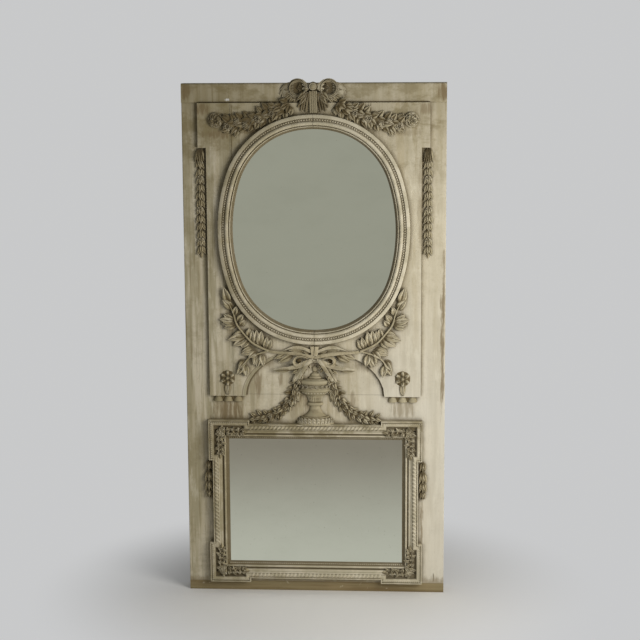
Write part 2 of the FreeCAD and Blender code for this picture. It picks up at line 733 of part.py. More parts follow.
def bow_knot():
    """Button, central band and two pleated tails."""
    back = FRONT - TOP_RAIL_PROUD
    low = PANEL_FRONT
    pieces = [
        bud(0, 2206, 18, back, 30, 10),
        plate([(-14, 2097), (14, 2097), (16, 2186), (-16, 2186)], low, 20),
        plate([(-16, 2140), (16, 2140), (22, 2200), (-22, 2200)], back, 32),
    ]
    for side in (-1, 1):
        tail = [(side * 12, 2172), (side * 30, 2180), (side * 62, 2150), (side * 58, 2100), (side * 14, 2094)]
        pieces.append(plate(tail, low, 8))
        for x in (24, 40, 55):
            pleat = [(side * (x * 0.55 + 6), 2168), (side * x, 2128), (side * x, 2100)]
            pieces.append(stem(pleat, 13, low, 16))
    return fused(pieces)


def urn_profile():
    """Half section of the urn as radius and height, from the foot up to the finial."""
    foot = [(82, FRAME_TOP), (78, 765), (62, 788), (45, 795), (31, 808), (24, 822), (21, 836)]
    cup = [(21, 836), (34, 841), (34, 849), (30, 854), (33, 872), (38, 884), (56, 895), (68, 906), (68, 938)]
    rim = [(72, 942), (72, 949), (66, 952)]
    lid = [(48, 952), (28, 955), (27, 964), (21, 967), (20, 976), (15, 979)]
    knob = [(9, 989), (14, 997), (12, 1006), (4, 1013)]
    return foot, cup + rim, lid + knob


def half_round(radius, z, lobes=0.0):
    """Flattened half-round section standing out of the ground; lobes shares the depth of its flutes."""
    steps = 10
    points = []
    for k in range(steps + 1):
        a = math.pi * k / steps
        size = radius * (1 - lobes if k % 2 else 1)
        points.append(vec(size * math.cos(a), FRONT - radius * URN_DEPTH * math.sin(a), z))
    return points


def urn():
    foot, bowl, lid = urn_profile()
    flute_low = 854
    flute_high = 884
    flute_depth = 0.09
    x = URN_HANDLE_X
    handle = ribbon([(x, 930), (x + 18, 946), (x + 26, 928), (x + 18, 910), (x, 907)], 9, FRONT - 6, 6, 9)
    keep("urn_foot", skin([half_round(r, z) for r, z in foot]))
    body = skin([half_round(r, z, flute_depth if flute_low <= z <= flute_high else 0) for r, z in bowl])
    keep("urn_bowl", main_solid(fused([body, handle, mirrored(handle)])))
    keep("urn_lid", skin([half_round(r, z) for r, z in lid]))


def guttae():
    """Three flared drops that hang from the lower edge of the raised panel."""
    drops = []
    for x in (SMALL_ROSE_X - GUTTA_PITCH, SMALL_ROSE_X, SMALL_ROSE_X + GUTTA_PITCH):
        rings = []
        for drop, half, proud in ((0, 13, 22), (5, 14, 24), (24, 20, 32)):
            z = PANEL_BOTTOM - drop
            bevel = half * 0.45
            rings.append([vec(x - half, FRONT, z), vec(x - half, FRONT - proud + bevel, z),
                          vec(x - half + bevel, FRONT - proud, z), vec(x + half - bevel, FRONT - proud, z),
                          vec(x + half, FRONT - proud + bevel, z), vec(x + half, FRONT, z)])
        drops.append(skin(rings))
    return Part.makeCompound(drops)


def both_sides(name, shape):
    keep("right_" + name, shape)
    keep("left_" + name, mirrored(shape))


def ornament():
    frame = [PARTS["frame_top_rail"], PARTS["frame_right_rail"], PARTS["frame_left_rail"]]
    ovals = [PARTS["right_oval_frame"], PARTS["left_oval_frame"]]
    panel = [PARTS[n + "_panel_board"] for n in ("right", "head", "foot", "left")]
    urn()
    urn_parts = [PARTS[n] for n in ("urn_foot", "urn_bowl", "urn_lid")]
    both_sides("top_rosette", rosette(ROSE_X, ROSE_Z, 41, PANEL_FRONT, 22, 6))
    rose = PARTS["right_top_rosette"]
    knot = scribed(bow_knot(), ovals + panel + [PARTS["top_rail"]])
    keep("bow_knot", knot)
    loop = scribed(bow_loop(), [knot] + panel)
    both_sides("bow_loop", loop)
    garland = scribed(upper_garland(), ovals + [rose, knot, loop])
    both_sides("upper_garland", garland)
    ribbon_piece = scribed(arch_ribbon(), ovals + panel + urn_parts)
    keep("arch_ribbon", ribbon_piece)
    both_sides("laurel_branch", scribed(laurel_branch(), ovals + [ribbon_piece]))
    both_sides("long_drop", long_drop())
    both_sides("short_drop", scribed(short_drop(), frame))
    both_sides("small_rosette", small_rosette())
    both_sides("guttae", guttae())
    both_sides("festoon", scribed(festoon(), urn_parts + frame + [ribbon_piece]))
    corner = scribed(acanthus_corner(), frame)
    middle = (FRAME_BOTTOM + FRAME_TOP) / 2
    lower = corner.mirror(vec(0, 0, middle), vec(0, 0, 1))
    both_sides("upper_acanthus", corner)
    both_sides("lower_acanthus", lower)


def main():
    carcass()
    back_frame()
    fixings()
    raised_panel()
    both_sides("oval_frame", oval_frame_half())
    lower_frame()
    glazing()
    ornament()
    os.makedirs("parts", exist_ok=True)
    for name, shape in PARTS.items():
        shape.exportStep("parts/" + name + ".step")


main()
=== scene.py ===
import json
import math
import random

import bmesh
import bpy
from mathutils import Matrix, Vector


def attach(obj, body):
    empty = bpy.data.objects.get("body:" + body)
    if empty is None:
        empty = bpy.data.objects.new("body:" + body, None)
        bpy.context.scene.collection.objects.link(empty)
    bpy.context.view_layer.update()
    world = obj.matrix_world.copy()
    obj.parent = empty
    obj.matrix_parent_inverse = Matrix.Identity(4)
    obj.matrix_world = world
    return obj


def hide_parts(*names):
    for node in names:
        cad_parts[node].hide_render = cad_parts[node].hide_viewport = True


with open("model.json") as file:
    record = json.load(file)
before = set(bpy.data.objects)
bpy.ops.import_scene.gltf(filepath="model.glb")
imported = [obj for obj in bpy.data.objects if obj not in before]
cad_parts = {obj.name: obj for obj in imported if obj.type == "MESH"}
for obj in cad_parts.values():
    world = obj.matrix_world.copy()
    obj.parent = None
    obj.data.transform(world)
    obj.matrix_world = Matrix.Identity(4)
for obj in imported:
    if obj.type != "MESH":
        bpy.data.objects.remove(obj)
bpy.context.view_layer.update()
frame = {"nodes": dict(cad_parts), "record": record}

# Trumeau mirror. Metres, +Z up, front towards -Y, origin at the centre of the sill's underside.

MM = 0.001

# Grounds that the carvings lie on, as y in millimetres
PANEL_FACE = -64
APRON_FACE = -46
TOP_RAIL_FACE = -52
KNOT_GROUND = -60
RIBBON_GROUND = -62
EAR_GROUND = -66

# Camera: the photograph's viewing angle, in a 640 by 640 picture
CAMERA_PLACE = (0.45, -6.816, 2.33)
CAMERA_YAW = 3.61
CAMERA_PITCH = -9.36
CAMERA_ROLL = 0.31
CAMERA_LENS = 90
CAMERA_SENSOR = 36

# Colours, as linear values
CREAM = (0.60, 0.535, 0.395)
CREAM_SHADE = (0.45, 0.38, 0.235)
CREAM_LIGHT = (0.70, 0.64, 0.49)
CHALK = (0.74, 0.72, 0.66)
TAUPE = (0.33, 0.285, 0.17)
# Brown of dirt, and of painted shade on the left and at the top
DIRT_AND_SHADE = (0.215, 0.170, 0.078)
# Dark brown of the wash in hollows and cracks, and of painted shade
SHADE_AND_WASH = (0.100, 0.070, 0.026)
UMBER = (0.19, 0.135, 0.062)
OLD_WOOD = (0.27, 0.215, 0.11)
OCHRE = (0.38, 0.29, 0.15)
IRON = (0.035, 0.03, 0.027)
RUST = (0.12, 0.055, 0.025)
SILVER = (0.88, 0.88, 0.85)
SILVER_CLOUD = (0.62, 0.63, 0.58)
SILVER_SPECK = (0.25, 0.24, 0.2)
FLOOR = (0.90, 0.88, 0.84)
FLOOR_SHADE = (0.66, 0.65, 0.62)
BACKGROUND = (0.58, 0.585, 0.59)
ROOM_IN_GLASS = (0.335, 0.343, 0.282)
FLOOR_IN_GLASS = (0.49, 0.505, 0.435)
FLOOR_FAR_IN_GLASS = (0.25, 0.235, 0.19)
FILL_COLOUR = (0.93, 0.96, 1.0)
KEY_COLOUR = (1.0, 0.99, 0.965)


# ---------------------------------------------------------------- shader expressions


def joined(tree, operation, first, second):
    """A Math node on two values, each a number or a socket."""
    node = tree.nodes.new("ShaderNodeMath")
    node.operation = operation
    for slot, value in zip(node.inputs, (first, second)):
        if isinstance(value, Sock):
            tree.links.new(value.socket, slot)
        else:
            slot.default_value = value
    return Sock(tree, node.outputs[0])


class Sock:
    """A shader socket that Python's arithmetic works on."""

    def __init__(self, tree, socket):
        self.tree = tree
        self.socket = socket

    def __add__(self, other):
        return joined(self.tree, "ADD", self, other)

    def __radd__(self, other):
        return joined(self.tree, "ADD", other, self)

    def __sub__(self, other):
        return joined(self.tree, "SUBTRACT", self, other)

    def __rsub__(self, other):
        return joined(self.tree, "SUBTRACT", other, self)

    def __mul__(self, other):
        return joined(self.tree, "MULTIPLY", self, other)

    def __rmul__(self, other):
        return joined(self.tree, "MULTIPLY", other, self)

    def __truediv__(self, other):
        return joined(self.tree, "DIVIDE", self, other)

    def __pow__(self, other):
        return joined(self.tree, "POWER", self, other)

    def most(self, other):
        return joined(self.tree, "MAXIMUM", self, other)

    def size(self):
        return joined(self.tree, "ABSOLUTE", self, 0)


class Finish:
    """The look of a material or world in the making, with the one method that adds its nodes."""

    def __init__(self, owner):
        self.owner = owner
        owner.use_nodes = True
        self.tree = owner.node_tree
        self.tree.nodes.clear()

    def node(self, kind, settings=None, values=None, out=0):
        node = self.tree.nodes.new(kind)
        for key, value in (settings or {}).items():
            setattr(node, key, value)
        for key, value in (values or {}).items():
            if isinstance(value, Sock):
                self.tree.links.new(value.socket, node.inputs[key])
            elif isinstance(value, tuple) and len(value) == 3 and node.inputs[key].type == "RGBA":
                node.inputs[key].default_value = (*value, 1)
            else:
                node.inputs[key].default_value = value
        return Sock(self.tree, node.outputs[out]) if len(node.outputs) else None

    def place(self):
        return self.node("ShaderNodeTexCoord", out="Object")

    def noise(self, place, scale, detail=3, roughness=0.55, seed=0):
        """Noise stretched by three scales, in repeats per metre."""
        values = {"Vector": place, "Scale": scale, "Location": (seed, 0, seed)}
        moved = self.node("ShaderNodeMapping", values=values)
        values = {"Vector": moved, "Scale": 1, "Detail": detail, "Roughness": roughness}
        return self.node("ShaderNodeTexNoise", values=values)

    def step(self, value, low, high):
        """0 below low and 1 above high, smooth between."""
        values = {"Value": value, "From Min": low, "From Max": high}
        return self.node("ShaderNodeMapRange", {"interpolation_type": "SMOOTHSTEP"}, values)

    def mix(self, share, first, second):
        return self.node("ShaderNodeMix", {"data_type": "RGBA"}, {0: share, 6: first, 7: second}, out=2)

    def xyz(self, place):
        split = self.tree.nodes.new("ShaderNodeSeparateXYZ")
        self.tree.links.new(place.socket, split.inputs[0])
        return [Sock(self.tree, output) for output in split.outputs]

    def recess(self, reach, inside=False):
        """1 in hollows and 0 in the open; inside reads the sharpness of outer edges the same way."""
        settings = {"samples": 8, "inside": inside}
        return 1 - self.node("ShaderNodeAmbientOcclusion", settings, {"Distance": reach}, out="AO")

    def finish(self, colour, roughness, height=None, relief=0.4, depth=0.001, **constants):
        shader = {"Base Color": colour, "Roughness": roughness}
        for key, value in constants.items():
            shader[key.replace("_", " ")] = value
        if height is not None:
            shader["Normal"] = self.node(
                "ShaderNodeBump", values={"Strength": relief, "Distance": depth, "Height": height})
        surface = self.node("ShaderNodeBsdfPrincipled", values=shader)
        self.node("ShaderNodeOutputMaterial", values={"Surface": surface})
        return self.owner


# ---------------------------------------------------------------- finishes


def ragged_patch(m, x, z, at, half, drips):
    """Patch centred at (x, z) with half widths, its border broken into drips."""
    across = ((x - at[0]) / half[0]).size()
    along_it = ((z - at[1]) / half[1]).size()
    distance = across ** 2 + along_it ** 2 + (drips - 0.5) * 5.0
    return 1 - m.step(distance, -0.1, 1.3)


def crack(m, x, z, at, low, high, ragged):
    """Dark upright line at x = at, between two heights."""
    line = 1 - m.step((x - at + (ragged - 0.5) * 0.010).size(), 0.0006, 0.0024)
    return line * m.step(z, low, low + CRACK_END) * (1 - m.step(z, high - CRACK_END, high))


CRACK_END = 0.012
ARCH_HALF_WIDTH = 0.300
ARCH_FOOT = 0.880
ARCH_RISE = 0.204
CHIP = ((-0.364, 2.151), (0.013, 0.006))

# Cracks: x, lower and upper end
CRACKS = ((-0.346, 1.800, 2.140), (0.240, 2.095, 2.140), (0.515, 0.042, 0.092), (-0.002, 1.060, 1.112))

# Brown stains and bare places on the boards, and patches of painted shade and shadow by the urn and the right
# long drop: centre x and z, half widths and strength
STAINS_AND_SHADE = (
    ((-0.548, 2.188), (0.036, 0.034), 0.90),
    ((0.548, 2.186), (0.030, 0.038), 0.90),
    ((-0.470, 2.112), (0.034, 0.026), 0.85),
    ((0.470, 2.112), (0.036, 0.026), 0.60),
    ((-0.378, 0.812), (0.078, 0.068), 0.85),
    ((0.378, 0.822), (0.056, 0.040), 0.50),
    ((-0.247, 0.940), (0.018, 0.070), 0.70),
    ((-0.150, 0.955), (0.012, 0.034), 0.60),
    ((-0.205, 1.030), (0.040, 0.026), 0.45),
    ((0.215, 1.010), (0.044, 0.024), 0.45),
    ((0.165, 0.860), (0.014, 0.040), 0.50),
    ((0.463, 0.310), (0.009, 0.095), 0.70),
    ((0.548, 1.150), (0.011, 0.360), 0.80),
    ((-0.362, 1.205), (0.018, 0.075), 0.55),
    ((-0.250, 1.215), (0.055, 0.060), 0.35),
    # painted shadow in the gap beside the right long drop
    ((0.452, 1.700), (0.014, 0.190), 0.35),
    ((-0.400, 2.008), (0.075, 0.020), 0.75),
    ((-0.290, 2.022), (0.080, 0.016), 0.55),
    ((0.400, 2.012), (0.060, 0.016), 0.40),
    ((-0.380, 0.918), (0.020, 0.026), 0.70),
    # painted shadow of the urn, on its left
    ((-0.040, 0.870), (0.040, 0.050), 0.55),
    ((0.000, 1.012), (0.050, 0.034), 0.50),
    ((-0.484, 1.700), (0.014, 0.220), 0.45),
    # brown stain and painted shade on the ground either side of the urn, this line and the next
    ((-0.088, 0.850), (0.050, 0.075), 0.32),
    ((0.088, 0.850), (0.045, 0.070), 0.28),
)


def arch_edge(m, x, z, colour):
    """Tan strip painted along the left of the arch for the panel's lit edge face, with a dark border of
    painted shade, and a brown line inside the arch's whole edge.
    """
    reach = ((x / ARCH_HALF_WIDTH) ** 2 + ((z - ARCH_FOOT) / ARCH_RISE) ** 2) ** 0.5
    above = m.step(z, ARCH_FOOT - 0.002, ARCH_FOOT + 0.004)
    on_left = 1 - m.step(x, -0.06, 0.0)
    # Painted light: the panel's lit edge face; its dark border is painted shade
    painted_lit_edge_face = m.step(reach, 0.990, 1.000) * (1 - m.step(reach, 1.030, 1.042)) * on_left
    colour = m.mix(painted_lit_edge_face * above * 0.80, colour, TAUPE)
    border = m.step(reach, 1.038, 1.046) * (1 - m.step(reach, 1.050, 1.060)) * on_left
    colour = m.mix(border * above * 0.60, colour, SHADE_AND_WASH)
    line = m.step(reach, 0.965, 0.985) * (1 - m.step(reach, 0.990, 1.000))
    return m.mix(line * above * 0.75, colour, SHADE_AND_WASH)


def board_colour(m, place, colour, ragged):
    """Streaks, smears, stains and cracks of the boards, heaviest at the top and on the left, which painted
    shade darkens further; a painted pool of light on the lower right.
    """
    x, _, z = m.xyz(place)
    # left and top weigh the streaks and darkening: painted shade on the left, dirt and painted shade at the
    # top
    left = 1 - m.step(x, -0.52, 0.02)
    top = m.step(z + (ragged - 0.5) * 0.5, 1.74, 2.14)
    wide = m.noise(place, (15, 15, 0.9), 4, 0.65, 23)
    colour = m.mix(m.step(wide, 0.46, 0.60) * (0.22 + left * 0.58), colour, TAUPE)
    light = m.noise(place, (24, 24, 5), 5, 0.7, 41)
    colour = m.mix(m.step(light, 0.53, 0.66) * 0.45, colour, CREAM_LIGHT)
    fine = m.noise(place, (85, 85, 3.0), 4, 0.68, 31)
    colour = m.mix(m.step(fine, 0.51, 0.68) * (0.10 + left * 0.42 + top * 0.2), colour, DIRT_AND_SHADE)
    smear = m.noise(place, (6, 6, 10), 6, 0.7, 37)
    colour = m.mix(m.step(smear, 0.48, 0.60) * (0.12 + left * 0.16 + top * 0.5), colour, DIRT_AND_SHADE)
    # Painted shade over the top and the left, mixed with dirt at the top
    colour = m.mix(top * (0.40 + left * 0.28), colour, DIRT_AND_SHADE)
    # Painted light: a pool of light that lightens the lower right
    painted_light_lower_right = m.step(x, 0.05, 0.45) * (1 - m.step(z, 0.75, 1.60))
    colour = m.mix(painted_light_lower_right * 0.34, colour, CHALK)
    drips = m.noise(place, (80, 80, 11), 5, 0.7, 19)
    for at, half, strength in STAINS_AND_SHADE:
        colour = m.mix(ragged_patch(m, x, z, at, half, drips) * strength, colour, UMBER)
    for at, low, high in CRACKS:
        colour = m.mix(crack(m, x, z, at, low, high, ragged) * 0.9, colour, SHADE_AND_WASH)
    colour = m.mix(ragged_patch(m, x, z, *CHIP, drips), colour, CHALK)
    colour = arch_edge(m, x, z, colour)
    foot = (1 - m.step(z + (ragged - 0.5) * 0.08, 0.045, 0.075)) * 0.6
    return m.mix(foot, colour, UMBER)


def aged_paint(name, kind):
    """Chalky cream paint with a brown wash and painted shade in the hollows, and rubbed edges with a painted
    highlight; mouldings and carvings get painted shade on the left and painted light on the right; kind names
    the surface.
    """
    grain, reach, low, high, wash_and_shade_strength, rubbed_and_highlight, spread = {
        "board": ((26, 26, 1.6), 0.027, 0.07, 0.62, 0.85, 0.35, 0.0),
        "moulding": ((30, 30, 30), 0.010, 0.12, 0.60, 0.84, 0.28, 0.35),
        "carving": ((24, 24, 24), 0.012, 0.16, 0.66, 0.95, 0.42, 0.7),
    }[kind]
    m = Finish(bpy.data.materials.new(name))
    place = m.place()
    x, _, z = m.xyz(place)
    streaks = m.noise(place, grain, 4, 0.6)
    cloud = m.noise(place, (3.1, 3.1, 2.2), 3, 0.5, 7)
    fleck = m.noise(place, (170, 170, 90), 2, 0.6, 3)
    ragged = m.noise(place, (42, 42, 20), 5, 0.66, 11)
    worn = m.step(streaks * 0.62 + cloud * 0.38, 0.44, 0.60)
    first, second = (CREAM_SHADE, DIRT_AND_SHADE) if kind == "carving" else (CREAM, CREAM_SHADE)
    colour = m.mix(worn * 0.66, first, second)
    colour = m.mix(m.step(fleck, 0.58, 0.72) * 0.40, colour, OCHRE)
    if kind == "board":
        colour = board_colour(m, place, colour, ragged)
        washed_and_shaded_part = 0.0
    else:
        left = 1 - m.step(x, -0.50, 0.20)
        top = m.step(z, 1.90, 2.15)
        # Darker towards the top
        colour = m.mix(top * 0.40, colour, DIRT_AND_SHADE)
        patchy = m.step(m.noise(place, (9, 9, 9), 4, 0.65, 17), 0.45, 0.58)
        colour = m.mix(patchy * 0.70, colour, TAUPE)
        # Painted shade on the left
        colour = m.mix(left * 0.38, colour, DIRT_AND_SHADE)
        # Painted light on the right
        colour = m.mix((1 - left) * (0.12 if kind == "carving" else 0.30), colour, CREAM_LIGHT)
        # Wash and painted shade drawn on the pieces: leaf ribs and stalks, dark cores, strips and grounds
        wash_and_shade = m.node("ShaderNodeAttribute", {"attribute_name": "wash_and_shade"}, out="Fac")
        if kind == "carving":
            # Painted shade at the top left, which also dims the edge highlight there
            colour = m.mix(top * (0.12 + left * 0.75), colour, SHADE_AND_WASH)
            rubbed_and_highlight = (1 - top * left * 0.7) * rubbed_and_highlight
        else:
            upper_rail = m.step(z, 0.66, 0.72) * (1 - m.step(z, 0.79, 0.82))
            colour = m.mix(upper_rail * (0.25 + patchy * 0.40), colour, DIRT_AND_SHADE)
        washed_and_shaded_part = m.step(wash_and_shade + (ragged - 0.5) * spread, 0.30, 0.85)
    # Brown wash and painted shade in the hollows, read from ambient occlusion and from the wash and shade
    # drawn on the pieces
    hollow_wash_and_shade = m.step(m.recess(reach) + (ragged - 0.5) * 0.3, low, high).most(washed_and_shaded_part)
    colour = m.mix(hollow_wash_and_shade * wash_and_shade_strength, colour, SHADE_AND_WASH)
    # Rubbed paint and a painted highlight on outer edges
    worn_and_lit_edge = m.step(m.recess(0.0035, True) + (fleck - 0.5) * 0.7, 0.35, 0.80)
    colour = m.mix(worn_and_lit_edge * rubbed_and_highlight * (1 - hollow_wash_and_shade * 0.8), colour, CREAM_LIGHT)
    roughness = 0.62 + streaks * 0.2
    height = streaks * 0.7 + fleck * 0.3 - hollow_wash_and_shade * 0.2
    return m.finish(colour, roughness, height, 0.35, 0.0012, Specular_IOR_Level=0.35)


def bare_wood(name, grain):
    """Old unpainted wood with a long grain, with dirt and painted shade in its hollows."""
    m = Finish(bpy.data.materials.new(name))
    place = m.place()
    fibre = m.noise(place, grain, 5, 0.65)
    cloud = m.noise(place, (4, 4, 4), 2, 0.5, 5)
    chips = m.noise(place, (60, 60, 60), 3, 0.6, 9)
    colour = m.mix(m.step(fibre, 0.35, 0.68), OLD_WOOD, UMBER)
    colour = m.mix(m.step(cloud, 0.5, 0.75) * 0.4, colour, OCHRE)
    colour = m.mix(m.step(chips, 0.66, 0.70) * 0.6, colour, CREAM)
    # Dirt and painted shade in the hollows
    colour = m.mix(m.step(m.recess(0.02), 0.15, 0.7) * 0.7, colour, SHADE_AND_WASH)
    return m.finish(colour, 0.55 + fibre * 0.3, fibre, 0.45, 0.0012, Specular_IOR_Level=0.3)


def old_mirror(name):
    """Silvered glass, faintly grey and clouded."""
    m = Finish(bpy.data.materials.new(name))
    place = m.place()
    cloud = m.noise(place, (5, 5, 9), 3, 0.6)
    specks = m.noise(place, (140, 140, 140), 2, 0.5, 4)
    colour = m.mix(m.step(cloud, 0.4, 0.75) * 0.12, SILVER, SILVER_CLOUD)
    colour = m.mix(m.step(specks, 0.735, 0.77) * 0.5, colour, SILVER_SPECK)
    return m.finish(colour, 0.02 + m.step(cloud, 0.5, 0.8) * 0.03, Metallic=1.0)


def forged_iron(name):
    m = Finish(bpy.data.materials.new(name))
    place = m.place()
    scale = m.noise(place, (120, 120, 120), 4, 0.6)
    colour = m.mix(m.step(scale, 0.5, 0.68), IRON, RUST)
    return m.finish(colour, 0.5 + scale * 0.3, scale, 0.5, 0.0006, Metallic=0.7)


SLOT_FINISH = {
    "painted_board": aged_paint("board_paint", "board"),
    "painted_moulding": aged_paint("moulding_paint", "moulding"),
    "painted_carving": aged_paint("carving_paint", "carving"),
    "bare_wood": bare_wood("back_wood", (70, 60, 2.2)),
    "mirror_glass": old_mirror("old_mirror"),
    "black_iron": forged_iron("forged_iron"),
}
SILL_WOOD = bare_wood("sill_wood", (2.5, 60, 70))


def dress_frame():
    """Every carried-over node takes the finish of its slot; the sill's grain runs along it."""
    for part in frame["record"]["subparts"]:
        node = frame["nodes"][part["node"]]
        node.data.materials.clear()
        lying = part["node"] == "sill"
        node.data.materials.append(SILL_WOOD if lying else SLOT_FINISH[part["material_slot"]])


# ---------------------------------------------------------------- bench
# Carvings and mouldings are drawn in plan and in millimetres: X to the right, Y up the wall, Z out of it.


MASTERS = []
SMOOTH_BELOW = math.radians(38)
vary = random.Random(7).uniform


def lone(obj):
    """Makes obj the only selected object and the active one."""
    bpy.ops.object.select_all(action="DESELECT")
    obj.select_set(True)
    bpy.context.view_layer.objects.active = obj


def start_edit(obj):
    lone(obj)
    bpy.ops.object.mode_set(mode="EDIT")


def end_edit():
    bpy.ops.object.mode_set(mode="OBJECT")
    return bpy.context.object


def pick(test):
    """Selects the vertices whose place passes the test, in edit mode."""
    mesh = bmesh.from_edit_mesh(bpy.context.object.data)
    mesh.select_mode = {"VERT"}
    for vertex in mesh.verts:
        vertex.select = bool(test(vertex.co))
    mesh.select_flush_mode()
    bmesh.update_edit_mesh(bpy.context.object.data)


def pick_all():
    bpy.ops.mesh.select_all(action="SELECT")


def face_outwards():
    pick_all()
    bpy.ops.mesh.normals_make_consistent(inside=False)


def master(obj, name):
    """A shape that is modelled once, copied where it is needed and taken away at the end."""
    obj.name = name
    MASTERS.append(obj)
    return obj


def copy_of(shape, matrix):
    twin = shape.copy()
    twin.data = shape.data.copy()
    bpy.context.scene.collection.objects.link(twin)
    twin.data.transform(matrix)
    if matrix.is_negative:
        twin.data.flip_normals()
    return twin


def hung(name, parts, ground):
    """Joins drawn parts, and stands them up in metres on the plane y = ground."""
    lone(parts[0])
    for part in parts:
        part.select_set(True)
    bpy.ops.object.join()
    obj = bpy.context.object
    obj.name = name
    obj.data.name = name
    upright = Matrix.Translation((0, ground, 0)) @ Matrix.Rotation(math.pi / 2, 4, "X")
    obj.data.transform(Matrix.Scale(MM, 4) @ upright)
    return obj


def keep_piece(obj, node, slot):
    """Finishes a piece: its material, its shading and the body that it rides on; the node it stands for is
    hidden.
    """
    obj.data.materials.clear()
    obj.data.materials.append(SLOT_FINISH[slot])
    for face in obj.data.polygons:
        face.material_index = 0
    lone(obj)
    bpy.ops.object.shade_smooth_by_angle(angle=SMOOTH_BELOW)
    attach(obj, "root")
    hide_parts(node)


def carve_pair(name, parts, ground, slot="painted_carving"):
    """Hangs the right-hand piece, and its mirror image on the left."""
    right = hung("carved_right_" + name, parts, ground)
    left = copy_of(right, Matrix.Scale(-1, 4, (1, 0, 0)))
    left.name = "carved_left_" + name
    left.data.name = left.name
    keep_piece(right, "right_" + name, slot)
    keep_piece(left, "left_" + name, slot)


def carve(name, parts, ground):
    keep_piece(hung("carved_" + name, parts, ground), name, "painted_carving")


# ---------------------------------------------------------------- carver's shapes


LEAF_THICKNESS = 0.35
# Painted shade along a leaf's rib
RIB_SHADE = 0.8
WELD = 0.001


def around(at, radius, angle):
    """The point at a radius and an angle round another."""
    return (at[0] + radius * math.cos(angle), at[1] + radius * math.sin(angle))


def full_circle(count, shift=0.0):
    """The angles of even steps all round, moved by a share of a step."""
    return [2 * math.pi * (k + shift) / count for k in range(count)]


def half_circle(count):
    """The angles of the middles of even steps over half a turn."""
    return [math.pi * (k + 0.5) / count for k in range(count)]


def mirrored(points, side):
    """Points as drawn for the right, or turned over to the left where side is -1."""
    return [(side * x, *rest) for x, *rest in points]


def leaf_shape(name, rows, cross):
    """Unit leaf along +Y: rows give width and lift from stalk to tip, cross the lift from side to side."""
    columns = len(cross) - 1
    steps = len(rows) - 1
    bpy.ops.mesh.primitive_grid_add(x_subdivisions=columns, y_subdivisions=steps, size=1,
                                    location=(0, 0.5, 0))
    obj = bpy.context.object
    bpy.ops.object.transform_apply(location=True, rotation=False, scale=False)
    # Painted shade along the rib and towards the stalk, where leaves lie under one another
    wash_and_shade = obj.data.attributes.new("wash_and_shade", "FLOAT", "POINT")
    for vertex, value in zip(obj.data.vertices, wash_and_shade.data):
        rib = RIB_SHADE if abs(vertex.co.x) < 0.01 else 0.0
        value.value = max(rib, 1.05 - 2.2 * vertex.co.y)
    start_edit(obj)
    for k, lift in enumerate(cross):
        x = k / columns - 0.5
        pick(lambda co: abs(co.x - x) < 0.01)
        bpy.ops.transform.translate(value=(0, 0, lift))
    for k, (width, lift) in enumerate(rows):
        y = k / steps
        pick(lambda co: abs(co.y - y) < 0.01)
        bpy.ops.transform.resize(value=(width, 1, 0.35 + 0.65 * min(width, 1)), center_override=(0, y, 0))
        bpy.ops.transform.translate(value=(0, 0, lift))
    end_edit()
    lone(obj)
    bpy.ops.object.modifier_add(type="SOLIDIFY")
    obj.modifiers[-1].thickness = LEAF_THICKNESS
    obj.modifiers[-1].offset = -1
    bpy.ops.object.modifier_apply(modifier=obj.modifiers[-1].name)
    return master(obj, name)


def laid(shape, at, heading, length, width, rise, pitch=0.0, roll=0.0, lift=0.0):
    """A copy of a unit shape: its stalk at a point, its length along the heading."""
    matrix = (Matrix.Translation((at[0], at[1], lift))
              @ Matrix.Rotation(heading - math.pi / 2, 4, "Z")
              @ Matrix.Rotation(pitch, 4, "X")
              @ Matrix.Rotation(roll, 4, "Y")
              @ Matrix.Diagonal((width, length, rise, 1)))
    return copy_of(shape, matrix)


def laid_to(shape, base, tip, width, rise, pitch=0.0, lift=0.0):
    run = Vector(tip) - Vector(base)
    return laid(shape, base, math.atan2(run.y, run.x), run.length, width, rise, pitch, 0.0, lift)


def along(points, share):
    """Place and heading at a share of the way along a line of points."""
    spans = [math.dist(a, b) for a, b in zip(points, points[1:])]
    want = share * sum(spans)
    for a, b, span in zip(points, points[1:], spans):
        heading = math.atan2(b[1] - a[1], b[0] - a[0])
        if want <= span or b == points[-1]:
            return around(a, min(want, span), heading), heading
        want -= span


def strap(points, width, thickness, tilts=(90,), radii=(1.0,), closed=False, flat=1.0):
    """Ribbon or stem along points, whose third coordinate lifts it off the ground."""
    bpy.ops.curve.primitive_nurbs_path_add()
    obj = bpy.context.object
    curve = obj.data
    curve.splines.clear()
    line = curve.splines.new("NURBS")
    line.points.add(len(points) - 1)
    last = len(points) - 1
    for k, place in enumerate(points):
        line.points[k].co = (*place, 1)
        line.points[k].tilt = math.radians(tilts[round(k * (len(tilts) - 1) / last)])
        line.points[k].radius = radii[round(k * (len(radii) - 1) / last)]
    line.use_cyclic_u = closed
    line.use_endpoint_u = not closed
    line.order_u = 3
    line.resolution_u = 5
    curve.twist_mode = "Z_UP"
    curve.extrude = width / 2
    curve.bevel_depth = thickness / 2
    curve.bevel_resolution = 2 if width == 0 else 1
    curve.use_fill_caps = True
    lone(obj)
    bpy.ops.object.convert(target="MESH")
    obj = bpy.context.object
    obj.data.transform(Matrix.Diagonal((1, 1, flat, 1)))
    return obj


def stalk(points, thickness, radii=(1.0, 0.8, 0.5), flat=1.3):
    return strap(points, 0, thickness, (0,), radii, flat=flat)


def dome(name, segments, rings):
    """Unit half ball that stands on the ground."""
    bpy.ops.mesh.primitive_uv_sphere_add(segments=segments, ring_count=rings, radius=1)
    obj = bpy.context.object
    start_edit(obj)
    pick_all()
    bpy.ops.mesh.bisect(plane_co=(0, 0, 0), plane_no=(0, 0, 1), clear_inner=True, use_fill=True)
    end_edit()
    return master(obj, name)


